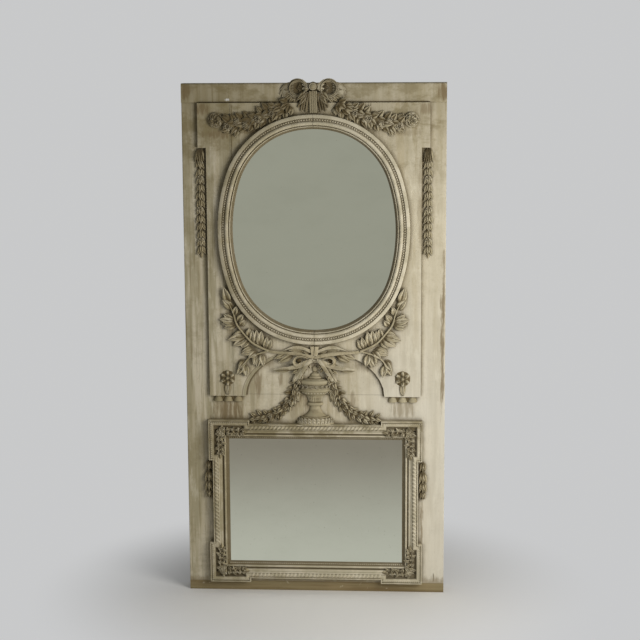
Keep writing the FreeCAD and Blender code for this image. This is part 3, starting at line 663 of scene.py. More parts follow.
def ball(shape, at, radius, rise, lift=0.0):
    place = Matrix.Translation((at[0], at[1], lift))
    return copy_of(shape, place @ Matrix.Diagonal((radius, radius, rise, 1)))


def washed_and_shaded(obj, amount):
    """Marks a whole shape for the brown wash and painted shade, from 0, clean, to 1, full."""
    wash_and_shade = obj.data.attributes.get("wash_and_shade") or obj.data.attributes.new("wash_and_shade", "FLOAT", "POINT")
    for value in wash_and_shade.data:
        value.value = amount
    return obj


def dirtied(obj, more):
    """Adds to the darkening that a leaf already carries: painted shade along its rib and at its stalk."""
    for value in obj.data.attributes["wash_and_shade"].data:
        value.value += more
    return obj


def drawn(points, wash_and_shade_amounts=()):
    """A chain of edges drawn point by point, left in edit mode and selected."""
    bpy.ops.mesh.primitive_plane_add(size=1)
    obj = bpy.context.object
    start_edit(obj)
    pick_all()
    bpy.ops.mesh.merge(type="CENTER")
    bpy.ops.transform.translate(value=points[0])
    for before, after in zip(points, points[1:]):
        step = Vector(after) - Vector(before)
        bpy.ops.mesh.extrude_vertices_move(TRANSFORM_OT_translate={"value": step})
    if wash_and_shade_amounts:
        mesh = bmesh.from_edit_mesh(obj.data)
        layer = mesh.verts.layers.float.new("wash_and_shade")
        for vertex, amount in zip(mesh.verts, wash_and_shade_amounts):
            vertex[layer] = amount
        bmesh.update_edit_mesh(obj.data)
    pick_all()
    return obj


def turned(profile, steps, flat, wash_and_shade_amounts=()):
    """Half-round turning about the Y axis, from a profile of radius and height."""
    drawn([(radius, height, 0) for radius, height in profile], wash_and_shade_amounts)
    bpy.ops.mesh.spin(steps=steps, angle=math.pi, center=(0, 0, 0), axis=(0, -1, 0))
    pick_all()
    bpy.ops.mesh.remove_doubles(threshold=WELD)
    obj = end_edit()
    heights = [vertex.co.z for vertex in obj.data.vertices]
    if -min(heights) > max(heights):
        obj.data.transform(Matrix.Scale(-1, 4, (0, 0, 1)))
    obj.data.transform(Matrix.Diagonal((1, 1, flat, 1)))
    start_edit(obj)
    face_outwards()
    return end_edit()


BROAD = leaf_shape("broad_leaf", (
    (0.34, 0.02), (0.82, 0.12), (1.00, 0.20), (0.96, 0.25), (0.76, 0.28), (0.44, 0.28), (0.08, 0.20)),
    (0.00, 0.50, 0.26, 0.50, 0.00))
SCOOPED = leaf_shape("scooped_leaf", (
    (0.24, 0.04), (0.62, 0.12), (0.92, 0.20), (1.00, 0.28), (0.94, 0.36), (0.74, 0.42), (0.44, 0.40),
    (0.10, 0.28)),
    (0.30, 0.52, 0.24, 0.20, 0.24, 0.52, 0.30))
HUSK = leaf_shape("husk_leaf", (
    (0.35, 0.05), (0.80, 0.16), (1.00, 0.22), (0.85, 0.22), (0.55, 0.16), (0.10, 0.02)),
    (0.00, 0.45, 0.85, 0.45, 0.00))
ACANTHUS = leaf_shape("acanthus_leaf", (
    (0.42, 0.00), (0.95, 0.10), (0.62, 0.16), (1.00, 0.20), (0.62, 0.26), (0.82, 0.34), (0.44, 0.42),
    (0.50, 0.50), (0.12, 0.42)),
    (0.00, 0.55, 0.18, 0.72, 0.18, 0.55, 0.00))
PETAL = leaf_shape("petal", (
    (0.22, 0.02), (0.60, 0.22), (0.92, 0.42), (1.00, 0.52), (0.82, 0.46), (0.40, 0.22)),
    (0.30, 0.12, 0.00, 0.12, 0.30))
PEARL = dome("pearl", 8, 6)
BERRY = dome("berry", 10, 8)
STRAND = washed_and_shaded(dome("strand", 8, 6), 0.25)


def heart_of(at, radius, rise, lift):
    """Ring of small berries round a larger one: the middle of a rose."""
    parts = [ball(BERRY, at, radius * 0.55, rise, lift)]
    for a in full_circle(8):
        parts.append(ball(PEARL, around(at, radius * 0.78, a), radius * 0.26, rise * 0.6, lift))
    return parts


def rose(at, radius, rise, petals, layers):
    """Rose: layers of petals, each smaller, higher and turned against the last."""
    parts = [ball(BERRY, at, radius * 0.7, rise * 0.45)]
    for layer in range(layers):
        share = 1 - 0.33 * layer
        for a in full_circle(petals, 0.5 * layer + 0.25):
            parts.append(laid(PETAL, around(at, radius * 0.10, a), a, radius * 0.9 * share,
                              radius * 1.15 * share, rise * 0.9, 0.10 + 0.12 * layer, 0.0,
                              rise * 0.22 * layer))
    return parts + heart_of(at, radius * 0.26, rise * 0.5, rise * 0.55)


# Base, tip and width of each laurel leaf
LAUREL_LEAVES = (
    ((366, 1282), (386, 1361), 30), ((352, 1262), (394, 1306), 24), ((345, 1235), (326, 1276), 24),
    ((344, 1212), (392, 1243), 24), ((342, 1206), (408, 1219), 25), ((340, 1200), (403, 1197), 24),
    ((338, 1196), (392, 1181), 24), ((332, 1205), (306, 1246), 25), ((322, 1190), (300, 1216), 20),
    ((300, 1158), (354, 1148), 26), ((296, 1148), (370, 1124), 30), ((290, 1138), (350, 1103), 28),
    ((282, 1128), (322, 1094), 26), ((288, 1142), (280, 1182), 24), ((266, 1112), (266, 1172), 26),
    ((254, 1106), (246, 1174), 26), ((240, 1100), (226, 1166), 26), ((262, 1092), (320, 1077), 24),
    ((256, 1086), (314, 1058), 25), ((250, 1080), (288, 1050), 22), ((216, 1090), (200, 1146), 25),
    ((208, 1088), (184, 1136), 24), ((300, 1040), (336, 1000), 22), ((308, 1016), (329, 970), 22),
    ((304, 1022), (300, 968), 23), ((248, 1064), (264, 1016), 23), ((240, 1066), (242, 1008), 24),
    ((232, 1068), (216, 1014), 23),
)


def laurel_branch():
    """Branch with a side sprig; under each leaf lies a dark one, so that the gaps read as shadow."""
    main = [(196, 1080, 6), (258, 1104, 9), (300, 1150, 10), (338, 1198, 10), (346, 1246, 10),
            (370, 1292, 8)]
    sprig = [(200, 1080, 6), (262, 1064, 8), (298, 1038, 8), (314, 1006, 6)]
    parts = [stalk(main, 10.5), stalk(sprig, 8.5)]
    for base, tip, width in LAUREL_LEAVES:
        run = Vector(tip) - Vector(base)
        heading = math.atan2(run.y, run.x)
        parts.append(washed_and_shaded(laid(BROAD, base, heading, run.length * 0.90, width * 1.75, 6), 0.75))
        leaf = laid(SCOOPED, base, heading + vary(-0.12, 0.12), run.length * vary(0.9, 1.05),
                    width * vary(1.05, 1.40), 17, vary(0.02, 0.12), vary(-0.35, 0.35), vary(1, 4))
        parts.append(dirtied(leaf, vary(0.0, 0.25)))
    for berry in ((318, 1206), (276, 1146), (330, 1128), (262, 1042), (290, 1066)):
        parts.append(ball(BERRY, berry, 6.5, 12))
    return parts


# Place across the swag, turn and lift of the leaves of one row
SWAG_ROW = ((-1.0, -0.80, 0), (1.0, 0.80, 0), (-0.40, -0.30, 4), (0.50, 0.35, 5))


def swag(points, rows, length, width, rise, roses):
    """Swag of broad leaves that overlap like tiles across its line, with roses set among them."""
    core = stalk([(x, y, 2) for x, y in points], width * 1.1, (0.7, 1.0, 0.8), 0.8)
    # Dark core: painted shade between the leaves
    parts = [washed_and_shaded(core, 1.0)]
    for i in range(rows):
        middle, heading = along(points, (i + 0.05) / rows)
        for step, turn, lift in SWAG_ROW:
            at = around(middle, width * 0.46 * step, heading + math.pi / 2)
            leaf = laid(BROAD, at, heading + turn + vary(-0.48, 0.48), length * vary(0.80, 1.1),
                        width * vary(0.80, 1.15), rise * vary(0.7, 1.0), vary(0.02, 0.20),
                        vary(-0.40, 0.40), lift)
            parts.append(dirtied(leaf, vary(0.0, 0.50)))
    for x, y, radius in roses:
        parts += rose((x, y), radius, rise * 1.15, 5, 2)
    return parts


def upper_garland():
    points = [(100, 2132), (128, 2114), (194, 2089), (262, 2066), (325, 2046), (380, 2050)]
    roses = ((362, 2040, 20), (322, 2060, 17), (286, 2046, 18), (236, 2072, 18), (176, 2094, 17))
    return swag(points, 10, 43, 29, 19, roses)


def festoon():
    points = [(74, 938), (90, 894), (120, 841), (157, 806), (207, 786), (254, 777), (282, 771)]
    parts = swag(points, 11, 34, 18.5, 18, ((112, 856, 11), (196, 790, 12)))
    for base, tip, width in (((80, 940), (98, 872), 20), ((88, 902), (90, 836), 22),
                             ((84, 930), (79, 878), 18), ((74, 925), (70, 852), 18)):
        parts.append(laid_to(BROAD, base, tip, width, 16))
    return parts


def long_drop():
    """Husks over twelve rows of leaves, with a small rose in every fourth row."""
    axis, top = 484, 1946
    core = stalk([(axis, top - 30, 0), (axis, 1700, 0), (axis, 1500, 0)], 26, (0.6, 1, 0.5), 0.6)
    # Dark core: painted shade between the leaves
    parts = [washed_and_shaded(core, 1.0)]
    for dx, length in ((-19, 58), (19, 58), (-10, 68), (10, 68), (0, 76)):
        parts.append(laid_to(HUSK, (axis + dx * 0.4, top), (axis + dx, top - length), 16, 16, 0.04))
    for k in range(12):
        y = top - 50 - 33 * k
        sway = vary(-3, 3)
        for side in (-1, 1):
            tip = (axis + side * vary(15, 20), y - vary(32, 42))
            parts.append(laid_to(BROAD, (axis + sway, y), tip, 21, 13, vary(0.04, 0.14)))
        parts.append(laid_to(BROAD, (axis + sway, y + 4), (axis - sway, y - 36), 18, 15, 0.10, 3))
        if k % 4 == 2:
            parts += rose((axis + sway, y - 10), 14, 18, 5, 1)
    parts.append(laid_to(HUSK, (axis, top - 436), (axis, 1479), 18, 12))
    return parts


def short_drop():
    axis, top = 467, 590
    core = stalk([(axis, top - 10, 0), (axis, top - 90, 0), (axis, top - 165, 0)], 14, (1.0,), 2.0)
    # Dark core: painted shade between the leaves
    parts = [washed_and_shaded(core, 0.9)]
    for k, size in enumerate((0.80, 1.05, 1.00, 0.72)):
        y = top - 43 * k
        for side in (-1, 1):
            tip = (axis + side * 15 * size, y - 50 * size)
            parts.append(laid_to(BROAD, (axis + side, y), tip, 18 * size, 15, 0.06, 10))
        parts.append(laid_to(HUSK, (axis, y - 4), (axis, y - 52 * size), 12.5 * size, 16, 0.05, 12))
    return parts


def small_rosette():
    """Round flower of six petals on a dark disc of painted shade, and the broad leaf that hangs from it."""
    at = (378, 960)
    parts = [washed_and_shaded(ball(BERRY, at, 34, 7), 0.85)]
    for a in full_circle(6, 1.5):
        parts.append(laid(HUSK, around(at, 10, a), a, 21, 15, 12, 0.10, 0.0, 3))
        parts.append(ball(BERRY, around(at, 26, a), 6.8, 14))
    # Dark ring of painted shade round the boss
    parts.append(washed_and_shaded(ball(BERRY, at, 12, 10), 1.0))
    parts.append(ball(BERRY, at, 8, 19))
    for dx, width in ((-8, 14), (8, 14), (0, 18)):
        parts.append(laid_to(BROAD, (at[0] + dx * 0.9, at[1] - 22), (at[0] + dx * 0.5, 885), width, 11))
    return parts


def top_rosette():
    """Full rose of many small crumpled petals."""
    at = (413, 2066)
    parts = [ball(BERRY, at, 32, 10)]
    for count, reach, width, rise, lift in ((11, 17, 23, 12, 1), (9, 10, 19, 14, 5), (6, 4, 14, 14, 10)):
        for k in range(count):
            a = 2 * math.pi * (k + vary(-0.2, 0.2)) / count
            parts.append(laid(PETAL, around(at, reach, a), a + vary(-0.3, 0.3), vary(14, 18), width, rise,
                              vary(0.0, 0.35), vary(-0.4, 0.4), lift))
    return parts + heart_of(at, 8, 8, 14)


def acanthus_corner():
    """Leafage of one ear of the lower frame, drawn for the upper right corner."""
    x, y = 414, 724
    parts = []
    for turn in (-0.75, -0.25, 0.25, 0.75):
        parts.append(laid(BROAD, (x - 16, y - 16), math.pi / 4 + turn, 38, 17, 18, 0.08))
    for k in range(5):
        step = 4 + 21.5 * k
        for side in (-1, 1):
            for turn, share in ((0.0, 1.0), (0.55, 0.72)):
                back = step + turn * 12
                lean = side * (0.85 + turn)
                for start, heading in (((x - back, y), math.pi - lean),
                                       ((x, y - back), lean - math.pi / 2)):
                    length = (30 - k) * share * vary(0.85, 1.15)
                    leaf = laid(BROAD, start, heading + vary(-0.45, 0.45), length, vary(11, 16),
                                vary(14, 20), vary(0.02, 0.2), vary(-0.4, 0.4))
                    parts.append(dirtied(leaf, vary(0.0, 0.3)))
        parts.append(ball(PEARL, (x - step - 11, y), 5, 17))
        parts.append(ball(PEARL, (x, y - step - 11), 5, 17))
    parts.append(laid(HUSK, (x - 94, y), math.pi, 30, 22, 15))
    parts.append(laid(HUSK, (x, y - 94), -math.pi / 2, 30, 22, 15))
    parts.append(laid(BROAD, (x + 10, y + 10), -3 * math.pi / 4, 50, 22, 16, 0.0, 0.0, 2))
    return parts


def bow_loop():
    """Loop of ribbon turned over on itself: pleated bands round a dark ball of painted shade in the hollow,
    and the folds beside it.
    """
    centre = (65.5, 2198.5)
    parts = [washed_and_shaded(ball(BERRY, centre, 31, 3), 1.0)]
    for wide, high, lift, width, tilt in ((34.5, 33.5, 8, 15, 62), (33, 32, 17, 7, 20)):
        ring = [(centre[0] + wide * math.cos(a), centre[1] + high * math.sin(a), lift)
                for a in full_circle(16)]
        parts.append(washed_and_shaded(strap(ring, width, 2.8, (tilt,), closed=True), 0.48))
    for k in range(7):
        a = math.pi - 1.1 + 0.37 * k
        pleat = laid(HUSK, around(centre, 27, a), a + math.pi + vary(-0.2, 0.2), vary(22, 34), 9.5, 10,
                     0.0, 0.0, 2)
        parts.append(washed_and_shaded(pleat, 0.75))
    for k in range(8):
        a = -2.1 + 0.33 * k
        leaf = laid(BROAD, around(centre, 34, a), a + vary(-0.1, 0.5), vary(14, 24), 15.5, 12, 0.1,
                    vary(-0.3, 0.3), 3)
        parts.append(dirtied(leaf, 0.55))
    for dy, end in ((14, (136, 2190)), (4, (138, 2172)), (-8, (128, 2160)), (-20, (110, 2152))):
        fold = [(84, 2204 + dy, 6), (104, 2203 + dy, 10), (122, 2192 + dy * 0.8, 8), (*end, 3)]
        parts.append(washed_and_shaded(strap(fold, 15, 3, (50, 80, 110), (0.8, 1.0, 0.5)), 0.5))
    for base, tip in (((70, 2172), (104, 2140)), ((84, 2176), (124, 2150)), ((60, 2170), (84, 2134))):
        parts.append(laid_to(BROAD, base, tip, 24, 14, 0.04))
    for rise in (-0.5, -0.15, 0.2, 0.55):
        crease = [(20, 2204 + 10 * rise, 16), (34, 2204 + 30 * rise, 18), (46, 2204 + 55 * rise, 12)]
        parts.append(strap(crease, 8, 3, (80,), (1.0, 1.0, 0.5)))
    return parts


def bow_knot():
    """Button over a fluted tab, and the pleated tails that spread from under it."""
    at = (0, 2206)
    # Dark ball under the button: a ring of painted shade round it
    parts = [washed_and_shaded(ball(BERRY, at, 20, 18, 4), 1.0), ball(BERRY, at, 15.5, 11.5, 19.5)]
    rim = [(*around(at, 14.5, a), 25.5) for a in full_circle(10)]
    parts.append(strap(rim, 0, 3.4, (0,), closed=True))
    for x in (-11, -3.7, 3.7, 11):
        parts.append(strap([(x * 1.15, 2186, 11), (x * 1.1, 2150, 12), (x, 2096, 11)], 0, 8.8, (0,)))
    for side in (-1, 1):
        # Dark stalks: painted shade in the gaps between the tails
        shaded_gap = stalk(mirrored(((20.5, 2176, 8), (20.5, 2160, 8), (20, 2142, 7)), side), 10)
        parts.append(washed_and_shaded(shaded_gap, 1.0))
        for j, (spread, foot) in enumerate(((27, 2100), (38, 2108), (48, 2104), (60, 2118))):
            pleat = mirrored(((14 + 6 * j, 2180, 9), (spread * 0.84, 2150, 10), (spread, foot, 5)), side)
            parts.append(washed_and_shaded(strap(pleat, 12.5, 3.4, (45 * side + 90,), (0.7, 1.0, 1.0)), 0.66))
        for base, tip, width in (((30, 2186), (66, 2150), 24), ((30, 2172), (56, 2130), 20)):
            parts.append(dirtied(laid_to(BROAD, *mirrored((base, tip), side), width, 16, 0.1, 4), 0.3))
    return parts


# Bands of the arch ribbon: points, width, thickness, tilts and share of the width along them
RIBBON_BANDS = (
    (((0, 1054, 16), (40, 1062, 19), (84, 1070, 17), (130, 1073, 14), (168, 1074, 12), (200, 1079, 8)),
     12, 4, (60, 85, 70, 90), (1, 1, 0.8, 0.7)),
    (((10, 1040, 16), (40, 1030, 19), (66, 1016, 13), (104, 1007, 20), (142, 1004, 18), (178, 998, 12)),
     19, 3, (110, 80, 60, 95), (0.8, 1, 0.8, 0.1)),
    (((30, 1046, 14), (50, 1058, 18), (76, 1056, 21), (90, 1038, 19), (82, 1020, 16), (64, 1014, 14),
      (52, 1026, 14), (58, 1038, 14)), 17, 3, (30,), (0.9, 1, 1, 0.5)),
    (((20, 1040, 19), (40, 1012, 18), (58, 982, 13), (78, 948, 6)), 14, 3, (80, 105, 85), (0.8, 1, 0.8)),
    (((30, 1040, 12), (58, 1004, 9), (80, 972, 8), (92, 946, 4)), 14, 3, (60, 120, 75), (1, 1, 0.6)),
    (((12, 1076, 10), (44, 1094, 14), (86, 1098, 13), (122, 1088, 10), (146, 1077, 6)),
     13, 3, (100, 70, 95), (0.8, 1, 0.2)),
    (((9, 1100, 10), (9, 1080, 13), (5, 1060, 16)), 14, 4, (75,), (1.0,)),
)

# Leaves of the arch ribbon: base, tip, width and rise
RIBBON_LEAVES = (
    ((94, 1064), (156, 1030), 34, 16), ((120, 1066), (176, 1046), 26, 13),
    ((40, 1078), (112, 1084), 22, 12), ((18, 1066), (56, 1082), 20, 14),
    ((60, 1016), (104, 1020), 20, 13), ((44, 1008), (64, 986), 22, 12),
    ((70, 996), (100, 980), 18, 11), ((76, 968), (92, 940), 16, 11),
)


def arch_ribbon():
    """Ribbon tied with a flower over the crown of the arch: waving bands, leaves, two curls and the tails."""
    parts = []
    for side in (-1, 1):
        for points, width, thickness, tilts, radii in RIBBON_BANDS:
            parts.append(washed_and_shaded(strap(mirrored(points, side), width, thickness, tilts, radii), 0.42))
        shade = stalk(mirrored(((62, 1006, 2), (110, 992, 3), (158, 987, 2)), side), 6)
        parts.append(washed_and_shaded(shade, 1.0))
        parts.append(laid_to(HUSK, (side * 106, 1000), (side * 176, 994), 24, 18, 0.0, 6))
        for k in range(6):
            leaf = laid(BROAD, (side * (30 + 9 * k), 1022 - 15 * k), -math.pi / 2 + side * vary(-0.9, 0.9),
                        vary(20, 30), vary(12, 16), 12, vary(0.05, 0.25), vary(-0.4, 0.4), 4)
            parts.append(dirtied(leaf, vary(0.1, 0.6)))
        for base, tip, width, rise in RIBBON_LEAVES:
            parts.append(laid_to(BROAD, *mirrored((base, tip), side), width, rise, vary(0.05, 0.2)))
        # Dark ball: painted shade in the hollow of each curl
        parts.append(washed_and_shaded(ball(BERRY, (side * 66, 1036), 11, 6), 1.0))
    return parts + rose((0, 1050), 21, 15, 7, 2)


# ---------------------------------------------------------------- urn and guttae


URN_FLAT = 0.60
FLUTES = 12

# Profiles of the urn's pieces: radius and height, from the foot up
URN_FOOT = [(82, 757), (82, 760), (79, 763), (77, 769), (71, 777), (63, 786), (61, 788), (61, 790),
            (50, 791), (47, 793), (40, 799), (32, 807), (26, 817), (23, 826), (21, 836)]
URN_BOWL = [(21, 836), (27, 838), (33, 840), (35, 843), (35, 847), (33, 850), (29, 852), (30, 860),
            (32, 870), (36, 881), (38, 884), (44, 886), (46, 889), (52, 891), (57, 895), (59, 899),
            (65, 902), (68, 904), (69, 907), (66, 910), (66, 934), (69, 937), (72, 940), (72, 947),
            (70, 950), (66, 952)]
URN_LID = [(50, 952), (48, 955), (36, 956), (29, 957), (28, 960), (28, 963), (25, 965), (21, 967),
           (20, 970), (21, 974), (19, 977), (14, 980), (10, 983), (8, 987), (11, 990), (14, 995),
           (14, 1001), (11, 1007), (4, 1012)]


def on_urn(shape, radius, height, angle, size, lean=0.0):
    """A small shape laid on the urn, facing outwards at an angle round its axis."""
    spot = Matrix.Translation((radius * math.cos(angle), height, radius * URN_FLAT * math.sin(angle)))
    face = Matrix.Rotation(math.pi / 2 - angle, 4, "Y") @ Matrix.Rotation(lean, 4, "Z")
    return copy_of(shape, spot @ face @ Matrix.Diagonal((*size, 1)))


def fluted(obj, low, high, share):
    """Hollows every other upright line of a turning between two heights."""
    start_edit(obj)
    for k in range(1, 2 * FLUTES, 2):
        a = math.pi * k / (2 * FLUTES)
        pick(lambda co: low < co.y < high and co.z > 0
             and abs(math.atan2(co.z / URN_FLAT, co.x) - a) < 0.01)
        bpy.ops.transform.resize(value=(share, 1, share), center_override=(0, 0, 0))
    return end_edit()


def groove_wash_and_shade(before, here, after):
    """More wash and painted shade where the radius is less than its neighbours' mean."""
    return min(1.0, max(0.10, 0.30 + ((before + after) / 2 - here) * 0.15))


def half_urn(profile):
    """Half-round turning of the urn, with wash and painted shade in every groove of its profile."""
    points = [(0, profile[0][1])] + profile + [(0, profile[-1][1])]
    radii = [radius for radius, height in points]
    wash_and_shade_amounts = [0.5] + [groove_wash_and_shade(*three) for three in zip(radii, radii[1:], radii[2:])] + [0.5]
    return turned(points, 2 * FLUTES, URN_FLAT, wash_and_shade_amounts)


def urn():
    parts = [half_urn(URN_FOOT)]
    for count, radius, height in ((13, 76.5, 761), (11, 69, 772)):
        for a in half_circle(count):
            parts.append(on_urn(BROAD, radius, height, a, (15, 17, 4), 0.5))
    carve("urn_foot", parts, APRON_FACE)
    parts = [fluted(half_urn(URN_BOWL), 851, 883, 0.86)]
    for a in half_circle(9):
        for side in (-1, 1):
            parts.append(on_urn(ACANTHUS, 66.5, 922, a + 0.06 * side, (15, 21, 6), 1.25 * side))
    for a in half_circle(13):
        parts.append(on_urn(PEARL, 57, 896.5, a, (4, 4, 3)))
    for side in (-1, 1):
        handle = mirrored(((62, 930, 4), (74, 945, 7), (84, 930, 8), (76, 912, 7), (62, 908, 4)), side)
        parts.append(strap(handle, 9, 4, (60,), (0.8, 1.0, 0.8)))
    carve("urn_bowl", parts, APRON_FACE)
    carve("urn_lid", [half_urn(URN_LID)], APRON_FACE)


def guttae():
    """Three drops in a row, with a dark strip of painted shade behind them."""
    profile = [(0, 880), (12, 880), (13.5, 875), (16, 869), (19, 862), (20.5, 858), (20, 856), (0, 856)]
    drop = turned(profile, 16, 1.0)
    parts = [copy_of(drop, Matrix.Translation((x, 0, 0))) for x in (335, 378, 421)]
    # painted shade behind and between the drops
    parts.append(washed_and_shaded(strap([(324, 869, 2), (378, 869, 2), (432, 869, 2)], 22, 8), 1.0))
    bpy.data.objects.remove(drop)
    return parts


# ---------------------------------------------------------------- mouldings


OVAL_MIDDLE = 1600
OVAL_HALF_WIDTH = 347
SIDE_RADIUS = 686
SIDE_ANGLE = math.radians(17.75)
SHOULDER_RADIUS = 313
SHOULDER_ANGLE = math.radians(80)
FACET = 11

# Section of the oval moulding: distance outwards from the sight line, height, and amount of wash and painted
# shade
OVAL_SECTION = (
    (0, 0, 1), (0, 4, 1), (1, 5.5, 1), (5, 12, 0.9), (8.5, 16, 0.8), (9.5, 18.5, 0.2), (11.5, 20, 0),
    (13.5, 19, 0.1), (14.5, 16.5, 0.9), (15.5, 15.5, 1), (16.5, 20, 0.7), (18.5, 24.5, 0.1), (22, 27.2, 0),
    (25.5, 28, 0), (29, 27, 0), (31.8, 24, 0.1), (33.3, 21, 0.5), (33.8, 18.5, 0.55), (45.5, 18.5, 0.55),
    (46, 22.5, 0.4), (47.5, 25, 0.1), (58.5, 25, 0), (61, 23.5, 0.2), (62, 20, 0.5), (62, 0, 0.9),
)
PEARL_GROOVE = 39.7
PEARL_PITCH = 10.5
HALF_JOINT = 0.7


def oval_arcs():
    """Centre, radius, start and end angle of the five arcs of the right half, from the foot up."""
    x1 = OVAL_HALF_WIDTH - SIDE_RADIUS
    x2 = x1 + (SIDE_RADIUS - SHOULDER_RADIUS) * math.cos(SIDE_ANGLE)
    y2 = (SIDE_RADIUS - SHOULDER_RADIUS) * math.sin(SIDE_ANGLE)
    crown = SHOULDER_RADIUS + x2 / math.cos(SHOULDER_ANGLE)
    y3 = y2 - x2 * math.tan(SHOULDER_ANGLE)
    right_angle = math.pi / 2
    return [
        ((0, OVAL_MIDDLE - y3), crown, -right_angle, -SHOULDER_ANGLE),
        ((x2, OVAL_MIDDLE - y2), SHOULDER_RADIUS, -SHOULDER_ANGLE, -SIDE_ANGLE),
        ((x1, OVAL_MIDDLE), SIDE_RADIUS, -SIDE_ANGLE, SIDE_ANGLE),
        ((x2, OVAL_MIDDLE + y2), SHOULDER_RADIUS, SIDE_ANGLE, SHOULDER_ANGLE),
        ((0, OVAL_MIDDLE + y3), crown, SHOULDER_ANGLE, right_angle),
    ]


def oval_frame():
    """Right half of the oval frame: its section turned about each arc's centre in turn, with its pearls."""
    arcs = oval_arcs()
    (_, foot_centre), foot_radius, _, _ = arcs[0]
    foot = foot_centre - foot_radius
    drawn([(0, foot - out, high) for out, high, wash_and_shade in OVAL_SECTION], [row[2] for row in OVAL_SECTION])
    for centre, radius, start, end in arcs:
        steps = max(3, round((end - start) * radius / FACET))
        bpy.ops.mesh.spin(steps=steps, angle=start - end, center=(*centre, 0), axis=(0, 0, 1))
    pick_all()
    bpy.ops.mesh.remove_doubles(threshold=WELD)
    pick_all()
    bpy.ops.mesh.bisect(plane_co=(HALF_JOINT, 0, 0), plane_no=(1, 0, 0), clear_inner=True, use_fill=False)
    face_outwards()
    parts = [end_edit()]
    for centre, radius, start, end in arcs:
        track = radius + PEARL_GROOVE
        count = round((end - start) * track / PEARL_PITCH)
        for k in range(count):
            spot = around(centre, track, start + (end - start) * (k + 0.5) / count)
            parts.append(ball(PEARL, spot, 4.7, 5.5, 18))
    return parts


FRAME_HALF = 447
FRAME_LOW = 63
FRAME_HIGH = 757
EAR_STEP = 17
EAR_LENGTH = 178
EAR_BORDER = 24
FIELD_OVERLAP = 26
FIELD_HEIGHT = 20

# Sections of the lower frame: distance inwards from the outline, height, and amount of wash and painted shade
OUTER_SECTION = (
    (0, 0, 0.8), (0, 34, 0.3), (1, 36, 0), (4, 36, 0), (5, 33, 0.4), (6.5, 31.5, 0.5), (8, 32.5, 0.4),
    (11, 33.5, 0.35), (15, 34, 0.35), (19, 33.5, 0.4), (22.5, 31.5, 0.6), (24, 29, 0.9), (25, 30, 0.7),
    (25, 0, 0.5),
)
INNER_SECTION = (
    (24.5, 0, 0), (24.5, 31, 0.6), (27, 28, 0.2), (31, 24.5, 0), (36, 22.5, 0), (40.5, 22, 0.2),
    (41.5, 20, 0.7), (42, 14, 1), (46.5, 13.6, 1), (47.5, 18, 0.5), (50, 21, 0), (54, 21, 0),
    (56.5, 18, 0.5), (57.3, 13.5, 1), (61, 10, 1), (65, 6.5, 0.9), (68.5, 4.5, 0.8),
    (70, 4, 0.8), (70, 0, 1),
)

# Rows of strands: place inwards from the line, pitch, size of a strand and lift
ROPE = (15.2, 16.5, (11.8, 5.6, 5.0), 32)
EAR_ROPE = (10.5, 8.5, (4.2, 2.6, 3.0), 33)
DENTILS = (62.5, 9.0, (2.4, 3.4, 4.0), 7)
DENTIL_INSET = 66
STRAND_SLANT = math.radians(48)


def eared_outline():
    """Outline of the frame with its ears, from the foot's right end round to the left."""
    near = FRAME_HALF + EAR_STEP - EAR_LENGTH
    ear = FRAME_HALF + EAR_STEP
    low, high = FRAME_LOW, FRAME_HIGH
    low_near = low - EAR_STEP + EAR_LENGTH
    high_near = high + EAR_STEP - EAR_LENGTH
    right = [(near, low), (near, low - EAR_STEP), (ear, low - EAR_STEP), (ear, low_near),
             (FRAME_HALF, low_near), (FRAME_HALF, high_near), (ear, high_near), (ear, high + EAR_STEP),
             (near, high + EAR_STEP), (near, high)]
    return right + mirrored(reversed(right), -1)


def plain_outline():
    right = [(FRAME_HALF, FRAME_LOW), (FRAME_HALF, FRAME_HIGH)]
    return right + mirrored(reversed(right), -1)


def section_shape(section, name):
    drawn([(-inset, 0, high) for inset, high, wash_and_shade in section], [row[2] for row in section])
    bpy.ops.mesh.edge_face_add()
    return master(end_edit(), name)


def moulding_run(shape, points, k):
    """Side k of an outline in moulding, extruded past both corners and cut back to the mitres."""
    spare = 90
    before, start, end, after = [Vector(points[(k + step) % len(points)]).to_3d() for step in (-1, 0, 1, 2)]
    here = end - start
    ahead = (after - end).normalized()
    behind = (start - before).normalized()
    obj = copy_of(shape, Matrix.Translation((0, -spare, 0)))
    start_edit(obj)
    pick_all()
    reach = here.length + 2 * spare
    bpy.ops.mesh.extrude_region_move(TRANSFORM_OT_translate={"value": (0, reach, 0)})
    end_edit()
    turn = math.atan2(here.y, here.x) - math.pi / 2
    obj.data.transform(Matrix.Translation(start) @ Matrix.Rotation(turn, 4, "Z"))
    start_edit(obj)
    for corner, other, keep_ahead in ((start, behind, True), (end, ahead, False)):
        pick_all()
        bpy.ops.mesh.bisect(plane_co=corner, plane_no=here.normalized() + other,
                            clear_inner=keep_ahead, clear_outer=not keep_ahead, use_fill=True)
    face_outwards()
    return end_edit()


def rope(start, end, inward, pitch, size, lift):
    """Row of slanting strands from start to end, set inwards from the line."""
    run = Vector(end) - Vector(start)
    side = Vector((-run.y, run.x)).normalized() * inward
    count = int(run.length / pitch)
    slant = Matrix.Rotation(math.atan2(run.y, run.x) + STRAND_SLANT, 4, "Z")
    parts = []
    for k in range(count):
        spot = Vector(start) + run * ((k + 0.5) / count) + side
        place = Matrix.Translation((spot.x, spot.y, lift))
        parts.append(copy_of(STRAND, place @ slant @ Matrix.Diagonal((*size, 1))))
    return parts


